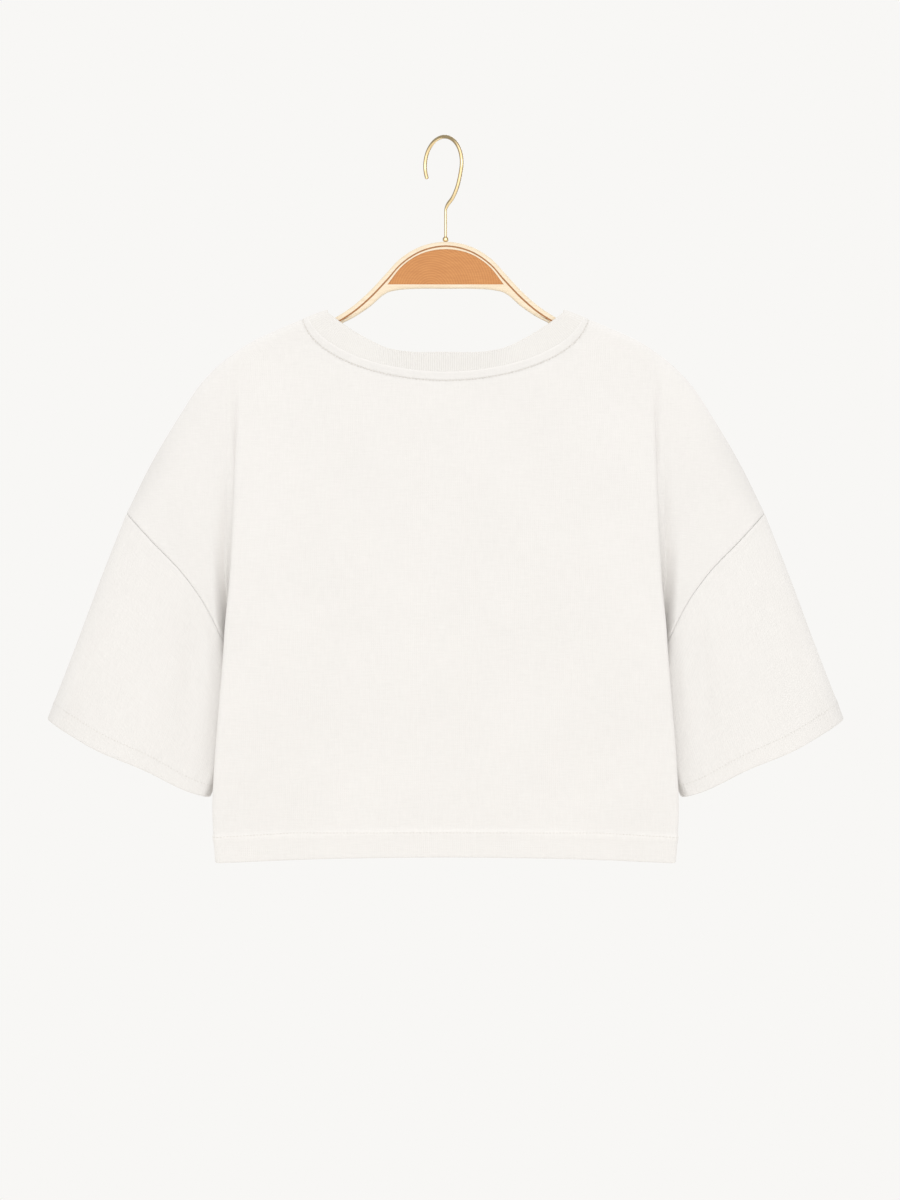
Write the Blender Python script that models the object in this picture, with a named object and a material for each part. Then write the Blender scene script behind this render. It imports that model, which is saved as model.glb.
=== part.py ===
"""A short, boxy crop top with dropped shoulders, hanging on a laminated wooden hanger.

Metres, +Z up.  The origin is the inner top of the hook, where the hanger hangs from a rail.
The wearer's back is at -Y and the front at +Y.  Both sides mirror about X = 0, so every table
gives one half: x outward from the centre line, z up, depth away from the plane Y = 0.

The cloth is one surface, laid out as patches.  It is cut into the maker's pieces along its
seams, and each piece gets its wall on the inside.
"""
import math

import bmesh
import bpy
import numpy as np

# ---------------------------------------------------------------- driving sizes
JERSEY_WALL = 0.0012
RIB_WALL = 0.0020
TURNED_UP_WALL = 0.0006       # the turned-up layer inside a hem, a cuff or the neck strip
STITCHED_LIFT = 0.0005        # how far a stitched band stands proud
STEP_WIDTH = 0.0010           # width of the step at a band's edge
SEAM_GAP = 0.0003             # between two pieces at a seam

HEM_BAND = 0.0240
CUFF_BAND = 0.0175
NECK_STRIP = 0.0086

NECK_HALF_WIDTH = 0.1246
NECK_CURVE = 1.9              # 2 would be an ellipse
NECK_DROP = {"back": 0.0528, "front": 0.0880}
RIB_LEAN = 0.0030             # the rib leans in by this at the centre

RIDGE_ROUND = 0.0070          # height over which the cloth rounds the top of the hanger
RIDGE_SQUARENESS = 2.6        # 2 would be an ellipse
RIDGE_DEPTH = 0.0086          # half thickness of the garment just below the shoulder ridge
DEPTH_SPREAD = 0.060          # how far below the ridge the body reaches its own depth
SIDE_DEPTH_FROM = 0.35        # share of the half width where the depth starts to turn to the edge's
SIDE_DEPTH_OVER = 0.62        # share of the half width over which it turns
YOKE_DEPTH = 0.0200
YOKE_SPREAD = 0.030
VALLEY_WIDTH = 0.016          # from the bottom of the side fold out to the yoke's face
FOLD_RADIUS = 0.0045          # round the side fold's edge
FOLD_EDGE_SHARE = 0.4         # share of the fold's points that go round that edge
FOLD_LEAVE = 0.6              # how straight the fold leaves its edge
FOLD_ARRIVE = 0.016           # how straight it runs into the valley

HEM_CENTRE_Z = -0.6695
HEM_CORNER_Z = -0.6742
HEM_SIDE_Z = -0.6735

CUFF_DEPTH = 0.0210
CUFF_TOP_ROUND = 0.016
CUFF_UNDER_ROUND = 0.012

HANGER_DEPTH = 0.0100
HANGER_ROUND = 0.0028
ARM_THICKNESS = 0.0102
ARM_CLEARANCE = 0.0007        # under the cloth where the arm carries it
INFILL_DEPTH = 0.0090
INFILL_GAP = 0.0003

WIRE_RADIUS = 0.00175
HOOK_RADIUS = 0.0256          # centre line of the eye
HOOK_TURN = math.radians(48)  # the eye's plane, turned from X towards -Y
HOOK_TIP_ANGLE = math.radians(205)
HOOK_LEAVE_ANGLE = math.radians(-12)
FERRULE_RADIUS = 0.0027

# ---------------------------------------------------------------- tables
# The shoulder ridge, from inside the neck to the top of the armhole: x, z
SHOULDER_RIDGE = (
    (0.0900, -0.1515),
    (0.1246, -0.1652),
    (0.1545, -0.1778),
    (0.1825, -0.1909),
    (0.2058, -0.2068),
    (0.2292, -0.2300),
    (0.2460, -0.2553),
    (0.2758, -0.3057),
    (0.2975, -0.3500),
)
# The armhole seam, from the top of the armhole to the armpit: x, z
ARMHOLE = (
    (0.2975, -0.3500),
    (0.2736, -0.3758),
    (0.2450, -0.4055),
    (0.2259, -0.4316),
    (0.2105, -0.4603),
    (0.2000, -0.4800),
)
# The sleeve's outer fold, its inner fold and its open edge: x, z
SLEEVE_TOP = ((0.2975, -0.3500), (0.3131, -0.3887), (0.3458, -0.4754), (0.3714, -0.5417))
SLEEVE_UNDER = (
    (0.2000, -0.4800),
    (0.2025, -0.5000),
    (0.2050, -0.5300),
    (0.2070, -0.5600),
    (0.2115, -0.5950),
    (0.2198, -0.6145),
)
CUFF_EDGE = (
    (0.3714, -0.5417),
    (0.3520, -0.5544),
    (0.3282, -0.5686),
    (0.2807, -0.5888),
    (0.2354, -0.6102),
    (0.2198, -0.6145),
)
# The rib's free edge, from the centre to the shoulder: x, z
RIB_EDGE = {
    "back": (
        (0.0000, -0.1996),
        (0.0332, -0.1994),
        (0.0533, -0.1961),
        (0.0735, -0.1870),
        (0.0958, -0.1728),
        (0.1100, -0.1595),
    ),
    "front": (
        (0.0000, -0.2350),
        (0.0300, -0.2335),
        (0.0550, -0.2270),
        (0.0780, -0.2140),
        (0.0960, -0.1945),
        (0.1065, -0.1745),
        (0.1100, -0.1595),
    ),
}
# The body's hang and the fold at its side, by height.  The fold's edge is the outermost line of
# the body, and its valley lies behind it, at the armpit and below on the side seam.
SIDE_COLUMNS = ("z", "centre", "edge", "edge_x", "valley_x", "valley_share", "folded")
SIDE_TABLE = (
    (-0.190, 0.0105, 0.0100, 0.1950, 0.2050, 1.00, 0.00),
    (-0.230, 0.0125, 0.0140, 0.1946, 0.2030, 0.96, 0.20),
    (-0.300, 0.0150, 0.0240, 0.1965, 0.2035, 0.72, 0.80),
    (-0.366, 0.0175, 0.0305, 0.1985, 0.2045, 0.42, 1.00),
    (-0.414, 0.0190, 0.0340, 0.2009, 0.2045, 0.22, 1.00),
    (-0.452, 0.0205, 0.0365, 0.2045, 0.2025, 0.08, 1.00),
    (-0.480, 0.0212, 0.0372, 0.2062, 0.2000, 0.00, 1.00),
    (-0.533, 0.0225, 0.0380, 0.2105, 0.1945, 0.00, 1.00),
    (-0.580, 0.0235, 0.0380, 0.2140, 0.1935, 0.00, 1.00),
    (-0.625, 0.0245, 0.0372, 0.2160, 0.1950, 0.00, 1.00),
    (-0.675, 0.0255, 0.0360, 0.2130, 0.1975, 0.00, 1.00),
)
# The hanger's upper edge and lower edge up to where the cloth hides them, and the infill: x, z
HANGER_TOP = (
    (0.0000, -0.0967),
    (0.0239, -0.1013),
    (0.0425, -0.1125),
    (0.0565, -0.1274),
    (0.0705, -0.1424),
    (0.0873, -0.1573),
    (0.1032, -0.1676),
    (0.1160, -0.1740),
    (0.1330, -0.1795),
    (0.1500, -0.1835),
)
ARM_CARRIES_FROM = 0.166      # from this x out to the tip the arm carries the cloth
ARM_TIP_X = 0.202
HANGER_LOW = (
    (0.0000, -0.1402),
    (0.0267, -0.1402),
    (0.0444, -0.1414),
    (0.0519, -0.1429),
    (0.0565, -0.1447),
    (0.0612, -0.1484),
    (0.0687, -0.1554),
    (0.0780, -0.1620),
    (0.0869, -0.1676),
    (0.0966, -0.1722),
)
INFILL_ARCH = ((0.0000, -0.1037), (0.0239, -0.1084), (0.0400, -0.1190), (0.0542, -0.1366))
# The hook from the eye down to the stem: u along the eye's plane, z
HOOK_NECK = ((0.0230, -0.0369), (0.0187, -0.0463), (0.0107, -0.0561), (0.0020, -0.0632))
HOOK_KINK_Z = -0.0670

# ---------------------------------------------------------------- mesh density
NECK_ANGLES = (0, 10, 20, 30, 40, 51, 62, 74, 83, 86.8, 89, 90)   # degrees, 90 at the ridge
TOP_ROWS = 4                  # rows close under the ridge, which end on the neck's upright part
SHOULDER_COLUMNS = 4
FOLD_SHARES = (0.2, 0.4, 0.6, 0.8, 1.0)
YOKE_COLUMNS = 5
ROWS_TO_ARMPIT = (0, .003, .009, .022, .05, .10, .18, .28, .40, .52, .64, .76, .87, .94, .98, 1)
ROWS_BELOW_ARMPIT = (.016, .15, .35, .55, .75)
SLEEVE_RINGS = (0, .025, .12, .27, .44, .61, .77)
RIB_ROWS = (0, .33, .67, 1)

# ---------------------------------------------------------------- colours
JERSEY_COLOUR = (0.89, 0.87, 0.82, 1)
RIB_COLOUR = (0.85, 0.83, 0.78, 1)
FRAME_COLOUR = (0.93, 0.79, 0.60, 1)
INFILL_COLOUR = (0.70, 0.34, 0.11, 1)
BRASS_COLOUR = (0.80, 0.62, 0.33, 1)


# ---------------------------------------------------------------- curves
def hermite(knots, values, at):
    """Smooth values between knots, each knot taking its slope from its neighbours."""
    knots, values, at = (np.asarray(item, dtype=float) for item in (knots, values, at))
    slopes = np.gradient(values, knots, axis=0)
    at = np.clip(at, knots[0], knots[-1])
    low = np.clip(np.searchsorted(knots, at) - 1, 0, len(knots) - 2)
    step = knots[low + 1] - knots[low]
    t = (at - knots[low]) / step
    if values.ndim == 2:
        step, t = step[:, None], t[:, None]
    return ((2 * t**3 - 3 * t**2 + 1) * values[low] + (t**3 - 2 * t**2 + t) * step * slopes[low]
            + (3 * t**2 - 2 * t**3) * values[low + 1] + (t**3 - t**2) * step * slopes[low + 1])


def lengths_along(points):
    """Distance along a chain of points, from its start."""
    return np.r_[0, np.cumsum(np.linalg.norm(np.diff(points, axis=0), axis=1))]


def fine_curve(points, samples=300):
    """A smooth curve through the points, as a fine chain."""
    points = np.array(points, dtype=float)
    chords = lengths_along(points)
    return hermite(chords, points, np.linspace(0, chords[-1], samples))


def along(chain, shares):
    """Points at the given shares of a chain's length."""
    lengths = lengths_along(chain)
    places = np.asarray(shares, dtype=float) * lengths[-1]
    return np.column_stack([np.interp(places, lengths, chain[:, k]) for k in range(2)])


def smoothstep(t):
    t = np.clip(t, 0, 1)
    return t * t * (3 - 2 * t)


RIDGE = fine_curve(SHOULDER_RIDGE)
SIDE = dict(zip(SIDE_COLUMNS, np.array(SIDE_TABLE)[::-1].T))


def side(column, z):
    """A column of the side table at the height z."""
    return hermite(SIDE["z"], SIDE[column], z)


def on_ridge(x):
    """The point of the shoulder ridge at x."""
    x = np.asarray(x, dtype=float)
    return np.stack([x, np.interp(x, RIDGE[:, 0], RIDGE[:, 1])], axis=-1)


def ridge_between(x_start, x_end, shares):
    """Points along the ridge from one x to another."""
    inner = RIDGE[(RIDGE[:, 0] > x_start) & (RIDGE[:, 0] < x_end)]
    return along(np.vstack([on_ridge(x_start), inner, on_ridge(x_end)]), shares)


def ridge_distance(points):
    """Distance of x, z points from the shoulder ridge."""
    start, step = RIDGE[:-1], np.diff(RIDGE, axis=0)
    offset = points[..., None, :] - start
    t = np.clip((offset * step).sum(-1) / (step**2).sum(-1), 0, 1)
    return np.linalg.norm(offset - t[..., None] * step, axis=-1).min(-1)


def ridge_rounding(distance):
    """0 on the ridge, 1 where the cloth hangs straight."""
    t = np.clip(distance / RIDGE_ROUND, 0, 1)
    return (1 - (1 - t)**RIDGE_SQUARENESS)**(1 / RIDGE_SQUARENESS)


def body_depth(points):
    """Depth of the body's face at x, z points."""
    distance = ridge_distance(points)
    x, z = points[..., 0], points[..., 1]
    share = smoothstep((x / side("edge_x", z) - SIDE_DEPTH_FROM) / SIDE_DEPTH_OVER)
    full = side("centre", z) * (1 - share) + side("edge", z) * share
    depth = RIDGE_DEPTH + (full - RIDGE_DEPTH) * (1 - np.exp(-distance / DEPTH_SPREAD))
    return depth * ridge_rounding(distance)


# ---------------------------------------------------------------- neck
def neck_seam(face):
    """The neck seam's x, z points, from the centre to the shoulder."""
    angle = np.radians(NECK_ANGLES)
    power = 2 / NECK_CURVE
    top = on_ridge(NECK_HALF_WIDTH)[1]
    x = NECK_HALF_WIDTH * np.sin(angle)**power
    z = top - NECK_DROP[face] * np.clip(np.cos(angle), 0, 1)**power
    z[-1] = top
    return np.column_stack([x, z])


def parallel_to_neck(face, width):
    """The line at a width outside the neck seam.  It ends on the shoulder ridge."""
    seam = neck_seam(face)
    tangent = np.gradient(seam, axis=0)
    tangent[0] = (1, 0)
    outward = np.column_stack([tangent[:, 1], -tangent[:, 0]])
    outward /= np.linalg.norm(outward, axis=1)[:, None]
    along_ridge = on_ridge(NECK_HALF_WIDTH + NECK_STRIP) - on_ridge(NECK_HALF_WIDTH)
    along_ridge /= np.linalg.norm(along_ridge)
    turn = (np.linspace(0, 1, len(seam))**6)[:, None]
    direction = outward * (1 - turn) + along_ridge * turn
    line = seam + width * direction / np.linalg.norm(direction, axis=1)[:, None]
    line[-1] = on_ridge(line[-1, 0])
    return line


def with_depth(points, depth):
    """x, z points and their depths as x, depth, z."""
    return np.stack([points[..., 0], depth, points[..., 1]], axis=-1)


def strip_patch(face):
    """The stitched strip below the neck seam."""
    widths = (0, NECK_STRIP - STEP_WIDTH, NECK_STRIP)
    points = np.stack([parallel_to_neck(face, width) for width in widths])
    return with_depth(points, body_depth(points)), (True, True, False)


def rib_patch(face):
    """The neck rib, from its seam to its free edge."""
    seam = neck_seam(face)
    edge = along(fine_curve(RIB_EDGE[face]), lengths_along(seam) / lengths_along(seam)[-1])
    share = np.array(RIB_ROWS)[:, None, None]
    points = seam * (1 - share) + edge * share
    points[:, -1] = on_ridge(points[:, -1, 0])
    lean = RIB_LEAN * share[..., 0] * np.cos(np.radians(NECK_ANGLES))
    return with_depth(points, body_depth(points) - lean)


# ---------------------------------------------------------------- body
def row_shares():
    """Shares of the way from the shoulder ridge to the hem, and the armpit's row."""
    top, hem = on_ridge(SIDE["valley_x"][-1])[1], HEM_SIDE_Z
    armpit = (ARMHOLE[-1][1] - top) / (hem - top)
    above = armpit * np.array(ROWS_TO_ARMPIT)
    below = armpit + (1 - armpit) * np.array(ROWS_BELOW_ARMPIT)
    band = HEM_BAND / (top - hem)
    step = STEP_WIDTH / (top - hem)
    return np.r_[above, below, 1 - band - step, 1 - band, 1], len(above) - 1


def fold_line(column, hem_z, shift=0.0):
    """A line of the side fold down the body, as x, z for each row."""
    shares, _ = row_shares()
    top = on_ridge(SIDE[column][-1] - shift)
    z = top[1] + (hem_z - top[1]) * shares
    line = np.column_stack([side(column, z) - shift, z])
    line[0] = on_ridge(line[0, 0])
    return line


def shoulder_points(face):
    """The rows close under the ridge, from the upright part of the neck out to the side fold."""
    edge = fold_line("edge_x", HEM_CORNER_Z, FOLD_RADIUS)[:TOP_ROWS + 1]
    neck = parallel_to_neck(face, NECK_STRIP)[::-1][:TOP_ROWS + 1]
    u = np.linspace(0, 1, SHOULDER_COLUMNS + 1)[:, None]
    ridge = ridge_between(neck[0, 0], edge[0, 0], u[:, 0])
    bow = ridge - (1 - u) * ridge[0] - u * ridge[-1]
    return (1 - u) * neck[:, None] + u * edge[:, None] + bow


def body_points(face):
    """The body under those rows, out to the side fold: a blend of its four edges."""
    shares = row_shares()[0][TOP_ROWS:]
    shares = (shares - shares[0]) / (1 - shares[0])
    edge = fold_line("edge_x", HEM_CORNER_Z, FOLD_RADIUS)[TOP_ROWS:]
    neck = parallel_to_neck(face, NECK_STRIP)[:-TOP_ROWS]
    top = np.vstack([neck[:-1], shoulder_points(face)[-1]])
    across = lengths_along(top) / lengths_along(top)[-1]
    hem = np.column_stack([across * edge[-1, 0],
                           HEM_CENTRE_Z + (HEM_CORNER_Z - HEM_CENTRE_Z) * across**2])
    centre = np.column_stack([np.zeros(len(shares)),
                              top[0, 1] + (hem[0, 1] - top[0, 1]) * shares])
    s, u = shares[:, None, None], across[None, :, None]
    corners = ((1 - s) * ((1 - u) * top[0] + u * top[-1]) + s * ((1 - u) * hem[0] + u * hem[-1]))
    return (1 - s) * top + s * hem + (1 - u) * centre[:, None] + u * edge[:, None] - corners


def yoke_depth(points, valley, valley_share):
    """Depth of the yoke, which rises from the valley to its own face."""
    distance = ridge_distance(points)
    face = RIDGE_DEPTH + (YOKE_DEPTH - RIDGE_DEPTH) * (1 - np.exp(-distance / YOKE_SPREAD))
    rise = smoothstep(np.linalg.norm(points - valley, axis=-1) / VALLEY_WIDTH)
    bottom = np.maximum(face[:, :1] * valley_share, JERSEY_WALL + 2 * SEAM_GAP)
    depth = (bottom + (face - bottom) * rise) * ridge_rounding(distance)
    depth[-1] = 0
    return depth


def yoke_patch():
    """The part of a panel outside the side fold, which runs to a point at the armpit."""
    _, armpit = row_shares()
    down = np.array(ROWS_TO_ARMPIT)
    valley = fold_line("valley_x", HEM_SIDE_Z)[:armpit + 1]
    across = np.linspace(0, 1, YOKE_COLUMNS + 1)
    ridge = ridge_between(valley[0, 0], ARMHOLE[0][0], across)
    seam = along(fine_curve(ARMHOLE), down)
    t, u = down[:, None, None], across[None, :, None]
    bow = ridge - (1 - u) * ridge[0] - u * ridge[-1]
    points = (1 - u) * valley[:, None] + u * seam[:, None] + (1 - t) * bow
    shares = side("valley_share", valley[:, 1])[:, None]
    return with_depth(points, yoke_depth(points, valley[:, None], shares))


def fold_patch(inner, outer, armpit):
    """The side fold between the body's last column and the valley: round its edge, then back."""
    rows = []
    for j, (start, end) in enumerate(zip(inner, outer)):
        folded = side("folded", start[2]) * ridge_rounding(ridge_distance(start[[0, 2]]))
        edge_x = start[0] + FOLD_RADIUS
        turned = min(1.0, (j / armpit)**3) * math.pi / 2
        arrive = FOLD_ARRIVE * np.array([math.cos(turned), -math.sin(turned)])
        leave = np.array([0, -FOLD_LEAVE * (start[1] - end[1])])
        bend, back = np.array([edge_x, start[1] - FOLD_RADIUS]), end[:2]
        row = [start]
        for share in FOLD_SHARES:
            if share <= FOLD_EDGE_SHARE:
                angle = math.pi / 2 * share / FOLD_EDGE_SHARE
                place = start[:2] + FOLD_RADIUS * np.array([math.sin(angle), math.cos(angle) - 1])
            else:
                t = (share - FOLD_EDGE_SHARE) / (1 - FOLD_EDGE_SHARE)
                place = ((2 * t**3 - 3 * t**2 + 1) * bend + (t**3 - 2 * t**2 + t) * leave
                         + (3 * t**2 - 2 * t**3) * back + (t**3 - t**2) * arrive)
            flat = start + (end - start) * share
            place = flat[:2] * (1 - folded) + place * folded
            row.append([place[0], place[1], flat[2]])
        rows.append(row)
    return np.array(rows)


def valley_points():
    """The bottom of the side fold: the yoke's inner edge, then the side seam."""
    yoke = yoke_patch()
    line = fold_line("valley_x", HEM_SIDE_Z)
    _, armpit = row_shares()
    seam = with_depth(line[armpit + 1:], np.zeros(len(line) - armpit - 1))
    return np.vstack([yoke[:, 0], seam])


# ---------------------------------------------------------------- sleeve
def sleeve_patch():
    """One face of a sleeve, between its outer and inner folds, from the armhole to the cuff."""
    down = np.array(ROWS_TO_ARMPIT)
    armhole = yoke_patch()[:, -1]
    cuff_length = lengths_along(fine_curve(CUFF_EDGE))[-1]
    band = CUFF_BAND / cuff_length
    rings = np.r_[SLEEVE_RINGS, 1 - band - STEP_WIDTH / cuff_length, 1 - band, 1]
    cuff = along(fine_curve(CUFF_EDGE), down)
    outer = along(fine_curve(SLEEVE_TOP), rings)
    under = along(fine_curve(SLEEVE_UNDER), rings)
    seam = armhole[:, [0, 2]]
    k, v = rings[:, None, None], down[None, :, None]
    corners = ((1 - k) * ((1 - v) * seam[0] + v * seam[-1])
               + k * ((1 - v) * cuff[0] + v * cuff[-1]))
    points = (1 - k) * seam + k * cuff + (1 - v) * outer[:, None] + v * under[:, None] - corners
    from_top = np.clip(down * cuff_length / CUFF_TOP_ROUND, 0, 1)
    from_under = np.clip((1 - down) * cuff_length / CUFF_UNDER_ROUND, 0, 1)
    mouth = CUFF_DEPTH * np.sqrt((1 - (1 - from_top)**2) * (1 - (1 - from_under)**2))
    depth = armhole[:, 1] * (1 - rings[:, None]) + mouth * rings[:, None]
    return with_depth(points, depth)


# ---------------------------------------------------------------- the cloth as one surface
def all_patches():
    """Every patch of the cloth: its piece, its grid, its stitched rows, and whether it mirrors."""
    shares, armpit = row_shares()
    hem_rows = [False] * (len(shares) - 2) + [True] * 2
    edge = fold_line("edge_x", HEM_CORNER_Z, FOLD_RADIUS)
    fold = fold_patch(with_depth(edge, body_depth(edge)), valley_points(), armpit)
    yoke, sleeve = yoke_patch(), sleeve_patch()
    cuff_rows = [False] * (len(sleeve) - 2) + [True] * 2
    patches = []
    for face, y_sign in (("back", -1), ("front", 1)):
        strip, strip_rows = strip_patch(face)
        shoulder, body = shoulder_points(face), body_points(face)
        for hand, x_sign in (("left", -1), ("right", 1)):
            for piece, grid, stitched in (
                    (face + "_panel", strip, strip_rows),
                    (face + "_panel", with_depth(shoulder, body_depth(shoulder)),
                     [False] * len(shoulder)),
                    (face + "_panel", with_depth(body, body_depth(body)), hem_rows[TOP_ROWS:]),
                    (face + "_panel", fold, hem_rows),
                    (face + "_panel", yoke, [False] * len(yoke)),
                    ("neck_rib", rib_patch(face)[::-1], [False] * len(RIB_ROWS)),
                    (hand + "_sleeve", sleeve[:, ::-1], cuff_rows)):
                patches.append((piece, grid * (x_sign, y_sign, 1), stitched, x_sign == y_sign))
    return patches


def weld(patches):
    """One list of points for all patches, and each patch's grid of point numbers."""
    points = np.vstack([grid.reshape(-1, 3) for _, grid, _, _ in patches])
    points[np.abs(points) < 1e-6] = 0
    keys = np.floor(points / 2e-5 + 0.3137).astype(int)
    _, first, number = np.unique(keys, axis=0, return_index=True, return_inverse=True)
    number = number.reshape(-1)
    grids, start = [], 0
    for _, grid, _, _ in patches:
        count = grid.shape[0] * grid.shape[1]
        grids.append(number[start:start + count].reshape(grid.shape[:2]))
        start += count
    return points[first], grids


def grid_faces(points, grid, mirrored):
    """A grid's triangles.  Rows run down and columns outward, so they face out of the garment.

    Each quad is cut along its shorter diagonal.
    """
    faces = []
    for a, b, c, d in zip(grid[:-1, :-1].flat, grid[1:, :-1].flat, grid[1:, 1:].flat,
                          grid[:-1, 1:].flat):
        if np.linalg.norm(points[a] - points[c]) < np.linalg.norm(points[b] - points[d]):
            halves = [a, b, c], [a, c, d]
        else:
            halves = [a, b, d], [b, c, d]
        faces.extend(half for half in halves if len(set(half)) == 3)
    return [face[::-1] for face in faces] if mirrored else faces


def unit(vector):
    return vector / np.linalg.norm(vector)


def point_normals(points, faces):
    """The mean outward direction at each point of the whole cloth, weighted by corner angle."""
    normals = np.zeros_like(points)
    for face in faces:
        corners = points[face]
        normal = unit(np.cross(corners[1] - corners[0], corners[2] - corners[0]))
        for k, number in enumerate(face):
            ahead = unit(corners[(k + 1) % 3] - corners[k])
            behind = unit(corners[k - 1] - corners[k])
            normals[number] += normal * math.acos(np.clip(ahead @ behind, -1, 1))
    armpits = (np.abs(np.abs(points[:, 0]) - ARMHOLE[-1][0]) < 1e-4) & (points[:, 1] == 0)
    armpits &= np.abs(points[:, 2] - ARMHOLE[-1][1]) < 1e-4
    normals[armpits] = (0, 0, -1)
    return normals / np.linalg.norm(normals, axis=1)[:, None]


def colour_material(name, colour, roughness, metallic=0.0):
    material = bpy.data.materials.new(name)
    material.use_nodes = True
    shader = material.node_tree.nodes["Principled BSDF"]
    shader.inputs["Base Color"].default_value = colour
    shader.inputs["Roughness"].default_value = roughness
    shader.inputs["Metallic"].default_value = metallic
    return material


def add_object(name, data, material):
    data.materials.append(material)
    obj = bpy.data.objects.new(name, data)
    bpy.context.scene.collection.objects.link(obj)
    return obj


def edges_once(faces):
    """The directed edges that bound a set of faces."""
    directed = {(a, b) for face in faces for a, b in zip(face, face[1:] + face[:1])}
    return sorted((a, b) for a, b in directed if (b, a) not in directed)


def pull_back(points, normals, bounds, seam_edges):
    """Move a piece's seams half a seam's gap into the piece, along its surface."""
    inward = {}
    for a, b in bounds:
        if (b, a) in seam_edges:
            for number in (a, b):
                across = unit(np.cross(normals[number], points[b] - points[a]))
                inward.setdefault(number, []).append(across)
    moved = points.copy()
    for number, ways in inward.items():
        meeting = 1 + ways[0] @ ways[1] if len(ways) == 2 else len(ways)
        moved[number] += sum(ways) / max(meeting, 0.5) * SEAM_GAP / 2
    return moved


def rim_faces(points, bounds, place):
    """The rim between the outer and the inner edge, cut alike on both sides of a seam."""
    faces = []
    for a, b in bounds:
        outer_a, outer_b, inner_a, inner_b = place[a], place[b], place[a] + len(place), \
            place[b] + len(place)
        if abs(points[a][0]) < abs(points[b][0]):
            faces += [outer_b, outer_a, inner_b], [outer_a, inner_a, inner_b]
        else:
            faces += [outer_b, outer_a, inner_a], [outer_b, inner_a, inner_b]
    return faces


def cloth_piece(name, points, normals, faces, seam_edges, stitched, wall, material):
    """A piece as a closed wall: its outer face, its inner face and the rim between them."""
    used = sorted({p for face in faces for p in face})
    place = {p: k for k, p in enumerate(used)}
    bounds = edges_once(faces)
    outline = pull_back(points, normals, bounds, seam_edges)
    lift = np.array([STITCHED_LIFT if p in stitched else 0.0 for p in used])[:, None]
    inner_wall = wall + np.array([TURNED_UP_WALL if p in stitched else 0.0 for p in used])[:, None]
    outer = outline[used] + normals[used] * lift
    inner = outline[used] - normals[used] * inner_wall
    outer_faces = [[place[p] for p in face] for face in faces]
    inner_faces = [[k + len(used) for k in face[::-1]] for face in outer_faces]
    mesh = bpy.data.meshes.new(name)
    mesh.from_pydata(np.vstack([outer, inner]).tolist(), [],
                     outer_faces + inner_faces + rim_faces(points, bounds, place))
    mesh.validate()
    mesh.shade_smooth()
    mesh.set_sharp_from_angle(angle=math.radians(50))
    return add_object(name, mesh, material)


def make_cloth():
    patches = all_patches()
    points, grids = weld(patches)
    pieces = {}
    for (piece, _, stitched, mirrored), grid in zip(patches, grids):
        faces, bands = pieces.setdefault(piece, ([], set()))
        faces.extend(grid_faces(points, grid, mirrored))
        bands.update(grid[list(stitched)].flat)
    normals = point_normals(points, [face for faces, _ in pieces.values() for face in faces])
    seam_edges = {edge for faces, _ in pieces.values() for edge in edges_once(faces)}
    for piece, (faces, bands) in pieces.items():
        rib = piece == "neck_rib"
        material = colour_material(piece, RIB_COLOUR if rib else JERSEY_COLOUR, 0.9)
        cloth_piece(piece, points, normals, faces, seam_edges, bands,
                    RIB_WALL if rib else JERSEY_WALL, material)


# ---------------------------------------------------------------- hanger
def hanger_top():
    """The upper edge: the bow, then the arm, which meets the cloth's inside near its tip."""
    x = np.linspace(ARM_CARRIES_FROM, ARM_TIP_X, 5)
    ridge = on_ridge(x)
    slope = np.gradient(ridge, axis=0)
    down = np.column_stack([slope[:, 1], -slope[:, 0]]) / np.linalg.norm(slope, axis=1)[:, None]
    carried = ridge + down * (JERSEY_WALL + ARM_CLEARANCE)
    return fine_curve(HANGER_TOP + tuple(map(tuple, carried)))


def offset_curve(chain, distance):
    """A chain moved down across its own direction."""
    tangent = np.gradient(chain, axis=0)
    down = np.column_stack([tangent[:, 1], -tangent[:, 0]])
    return chain + down / np.linalg.norm(down, axis=1)[:, None] * distance


def hanger_lines(middle=8, arm=16):
    """Columns of the hanger's face: upper edge, infill's arch, infill's foot, lower edge."""
    top = hanger_top()
    arch, low_middle = fine_curve(INFILL_ARCH), fine_curve(HANGER_LOW)
    corner = np.array(INFILL_ARCH[-1])
    top_share = lengths_along(top) / lengths_along(top)[-1]
    split = np.interp(corner[0], top[:, 0], top_share) - 0.012
    seen = np.interp(HANGER_TOP[6][0], top[:, 0], top_share)
    below = offset_curve(top, ARM_THICKNESS)
    low = np.vstack([low_middle, below[top_share > seen + 0.02]])
    low_share = lengths_along(low) / lengths_along(low)[-1]
    low_split = np.interp(corner[0], low[:, 0], low_share)
    shares = np.linspace(0, 1, middle + 1)
    out = np.linspace(0, 1, arm + 1)[1:]
    bow = along(top, split * shares)
    foot = np.column_stack([corner[0] * shares, np.full(middle + 1, corner[1])])
    bar = along(low, low_split * shares)
    arm_top = along(top, split + (1 - split) * out)
    arm_low = along(low, low_split + (1 - low_split) * out)
    return bow, along(arch, shares), foot, bar, arm_top, arm_low


def flat_frame(bmesh_data, lines, x_sign):
    """One half of the hanger's face as flat quads."""
    bow, arch, foot, bar, arm_top, arm_low = lines
    middle_line = (arm_top + arm_low) / 2
    top_row = np.vstack([bow, arm_top])
    upper_row = np.vstack([arch, middle_line])
    lower_row = np.vstack([foot, middle_line])
    low_row = np.vstack([bar, arm_low])
    faces = []
    for first, second in ((top_row, upper_row), (lower_row, low_row)):
        for k in range(len(first) - 1):
            quad = (first[k], second[k], second[k + 1], first[k + 1])
            verts = [bmesh_data.verts.new((x_sign * p[0], -HANGER_DEPTH / 2, p[1])) for p in quad]
            faces.append(bmesh_data.faces.new(verts if x_sign > 0 else verts[::-1]))
    return faces


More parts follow.
